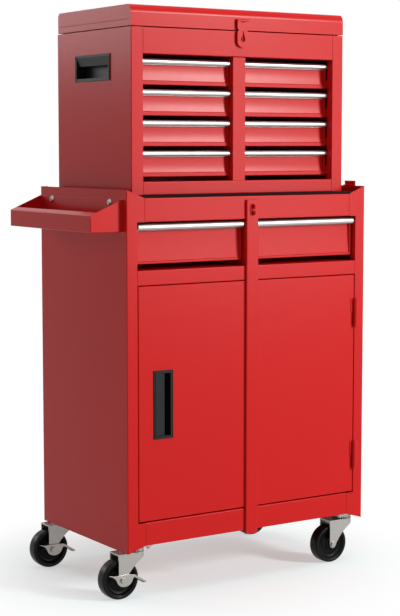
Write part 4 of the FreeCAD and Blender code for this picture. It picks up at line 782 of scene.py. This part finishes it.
def brake_pedal(corner):
    """Brake pedal pressed from sheet: a lobe round the axle with two thin wings, and a tread by the wheel.

    Its outline is in (x, z) about the axle.
    """
    node = f"brake_pedal_{corner}"
    low, high = box_mm(node)
    axle_x, axle_z, bore, thick = low.x + 29.0, 38.0, 3.1, 2.0
    lobe = [(4 + 17 * cos(radians(turn)), 1.5 + 14 * sin(radians(turn))) for turn in range(350, 189, -10)]
    upper = [(-29.0, 12.5), (-18.0, 10.2), (-6.0, 10.0), (12.0, 10.0), (25.0, 8.5), (50.0, -7.5)]
    lower = [(50.0, -10.5), (24.0, 3.5)] + lobe + [(-16.5, 5.0), (-22.0, 9.0), (-29.0, 11.4)]
    edges = [(axle_x + x, axle_z + z) for x, z in upper + lower], arc(axle_x, axle_z, bore, 0, 345, 23)
    shape = bmesh.new()
    flanks = []
    for y in (low.y, low.y + thick):
        rings = [[shape.verts.new((x, y, z)) for x, z in edge] for edge in edges]
        pairs = [(ring[here - 1], ring[here]) for ring in rings for here in range(len(ring))]
        lines = [shape.edges.new(pair) for pair in pairs]
        bmesh.ops.triangle_fill(shape, use_beauty=True, use_dissolve=True, edges=lines)
        flanks.append(rings)
    for near, far in zip(*flanks):
        band(shape, near, far)
    root, under, over = low.y + thick / 2, axle_z - 10.4, axle_z - 7.6
    tread_start, tread_end = axle_x + 44.5, axle_x + 49.9
    tread = [(root, under), (high.y, under), (high.y, over), (root, over)]
    prism(shape, tread, ((tread_start, 1.0), (tread_end, 1.0)))
    piece = new_piece(f"{node}_finished", shape)
    rounded(piece, PRESSED_EDGE)
    finish_piece(piece, body_of(node), zinc, (node,))


dressed("caster_plates", zinc, PRESSED_EDGE)
for corner in ("front_left", "front_right", "rear_left", "rear_right"):
    fork(corner)
    wheel(corner)
    if corner.endswith("left"):
        brake_pedal(corner)


def caster_hardware():
    """Bolts with washers and nuts through plate and floor, and the balls of the swivel races."""
    low, high = box_mm("caster_plates")
    size, inset, plate, floor_sheet, race_z = 54.0, 7.0, 2.5, 1.0, 88.6
    corners = [(x, y) for x in (low.x, high.x - size) for y in (low.y, high.y - size)]
    holes = (inset, size - inset)
    places = [(x + a, y + b, high.z + floor_sheet) for x, y in corners for a in holes for b in holes]
    grip, washer, head = floor_sheet + plate, 0.8, 3.0
    sizes = {"Hexagon Radius": 4.9 * MM, "Hexagon Height": head * MM,
             "Washer Radius": 5.6 * MM, "Washer Height": washer * MM,
             "Shank Radius": 2.9 * MM, "Shank Length": 2.6 * (grip + washer) * MM,
             "Upper Washer": metres(0, 0, washer / 2), "Head": metres(0, 0, washer + head / 2),
             "Lower Washer": metres(0, 0, -grip - washer / 2), "Nut": metres(0, 0, -grip - washer - head / 2),
             "Shank": metres(0, 0, -0.9 * (grip + washer))}
    grown("caster_plate_bolts", places, bolt_tree(sizes), sizes, "cabinet", zinc, 0.2)
    centres = [(x + size / 2, y + size / 2, race_z) for x, y in corners]
    sizes = {"Ring Radius": 17.3 * MM, "Ball Radius": 1.6 * MM, "Count": 24}
    grown("swivel_race_balls", centres, ball_tree(sizes), sizes, "cabinet", zinc)


caster_hardware()


# Room: floor, lamps, world and camera. Places here are in metres.


def straight_ray(tree):
    """1 for what the camera, a gloss or a clear surface sees, 0 for light that falls on something dull."""
    path = add(tree, "ShaderNodeLightPath")
    seen = path.outputs["Is Camera Ray"]
    for kind in ("Is Glossy Ray", "Is Transmission Ray"):
        seen = add(tree, "ShaderNodeMath", {"operation": "MAXIMUM"}, Value=seen,
                   Value_001=path.outputs[kind]).outputs[0]
    return seen


def floor():
    """Plain pale floor that shows the shadow. What the camera sees of it is lifted, to white farther off."""
    material, tree, place = start_material("pale_studio_floor")
    lit = add(tree, "ShaderNodeBsdfDiffuse", Color=linear("#D2E3E3"))
    glow = add(tree, "ShaderNodeEmission", Color=linear("#FFFFFF"), Strength=0.44)
    white = add(tree, "ShaderNodeEmission", Color=linear("#FFFFFF"), Strength=1.0)
    lifted = add(tree, "ShaderNodeAddShader", Shader=lit.outputs[0], Shader_001=glow.outputs[0])
    away = add(tree, "ShaderNodeVectorMath", {"operation": "LENGTH"}, Vector=place)
    far = add(tree, "ShaderNodeMapRange", {"interpolation_type": "SMOOTHSTEP"}, Value=away.outputs["Value"],
              From_Min=0.2, From_Max=0.55)
    spread = add(tree, "ShaderNodeMixShader", Fac=far.outputs["Result"], Shader=lifted.outputs[0],
                 Shader_001=white.outputs[0])
    seen = add(tree, "ShaderNodeMixShader", Fac=straight_ray(tree), Shader=lit.outputs[0],
               Shader_001=spread.outputs[0])
    add(tree, "ShaderNodeOutputMaterial", Surface=seen.outputs[0])
    half = 30.0
    corners = [(-half, -half, 0), (half, -half, 0), (half, half, 0), (-half, half, 0)]
    mesh = bpy.data.meshes.new("studio_floor")
    mesh.from_pydata(corners, [], [(0, 1, 2, 3)])
    mesh.materials.append(material)
    ground = bpy.data.objects.new("studio_floor", mesh)
    bpy.context.scene.collection.objects.link(ground)


def world():
    """White behind the object and in what shines; a softer grey light on what is dull."""
    made = bpy.data.worlds.new("studio")
    bpy.context.scene.world = made
    made.use_nodes = True
    tree = made.node_tree
    tree.nodes.clear()
    white = add(tree, "ShaderNodeBackground", Color=linear("#FFFFFF"), Strength=1.0)
    soft = add(tree, "ShaderNodeBackground", Color=linear("#FFFFFF"), Strength=0.2)
    pick = add(tree, "ShaderNodeMixShader", Fac=straight_ray(tree), Shader=soft.outputs[0],
               Shader_001=white.outputs[0])
    add(tree, "ShaderNodeOutputWorld", Surface=pick.outputs[0])


def softbox(name, place, target, wide, high, watts):
    """A rectangular lamp that faces its target and that the camera doesn't see."""
    lamp = bpy.data.lights.new(name, "AREA")
    lamp.shape = "RECTANGLE"
    lamp.size = wide
    lamp.size_y = high
    lamp.energy = watts
    box = bpy.data.objects.new(name, lamp)
    box.location = place
    box.rotation_euler = (Vector(target) - Vector(place)).to_track_quat("-Z", "Y").to_euler()
    box.visible_camera = False
    bpy.context.scene.collection.objects.link(box)


def camera():
    """The photograph's viewing angle: 33 degrees to the left of the front, looking down by 6."""
    made = bpy.data.cameras.new("camera")
    made.sensor_width = 36.0
    made.lens = 93.39
    eye = bpy.data.objects.new("camera", made)
    eye.location = (-1.70775, -2.6370, 0.838)
    eye.rotation_euler = (radians(90 - 5.83), 0, radians(-33.24))
    bpy.context.scene.collection.objects.link(eye)
    bpy.context.scene.camera = eye


floor()
world()
softbox("key", (2.3, -3.5, 2.06), (0, 0, 0.7), 0.72, 0.72, 110)
softbox("fill", (2.3, -3.5, 0.8), (0, 0, 0.6), 1.2, 1.1, 28)
softbox("rear_left", (-1.95, 3.0, 1.65), (-0.2, 0, 0.9), 1.6, 0.9, 20)
softbox("top", (0.0, -0.2, 3.4), (0, 0, 0), 2.0, 2.0, 26)
camera()
bpy.context.scene.view_settings.view_transform = "Standard"
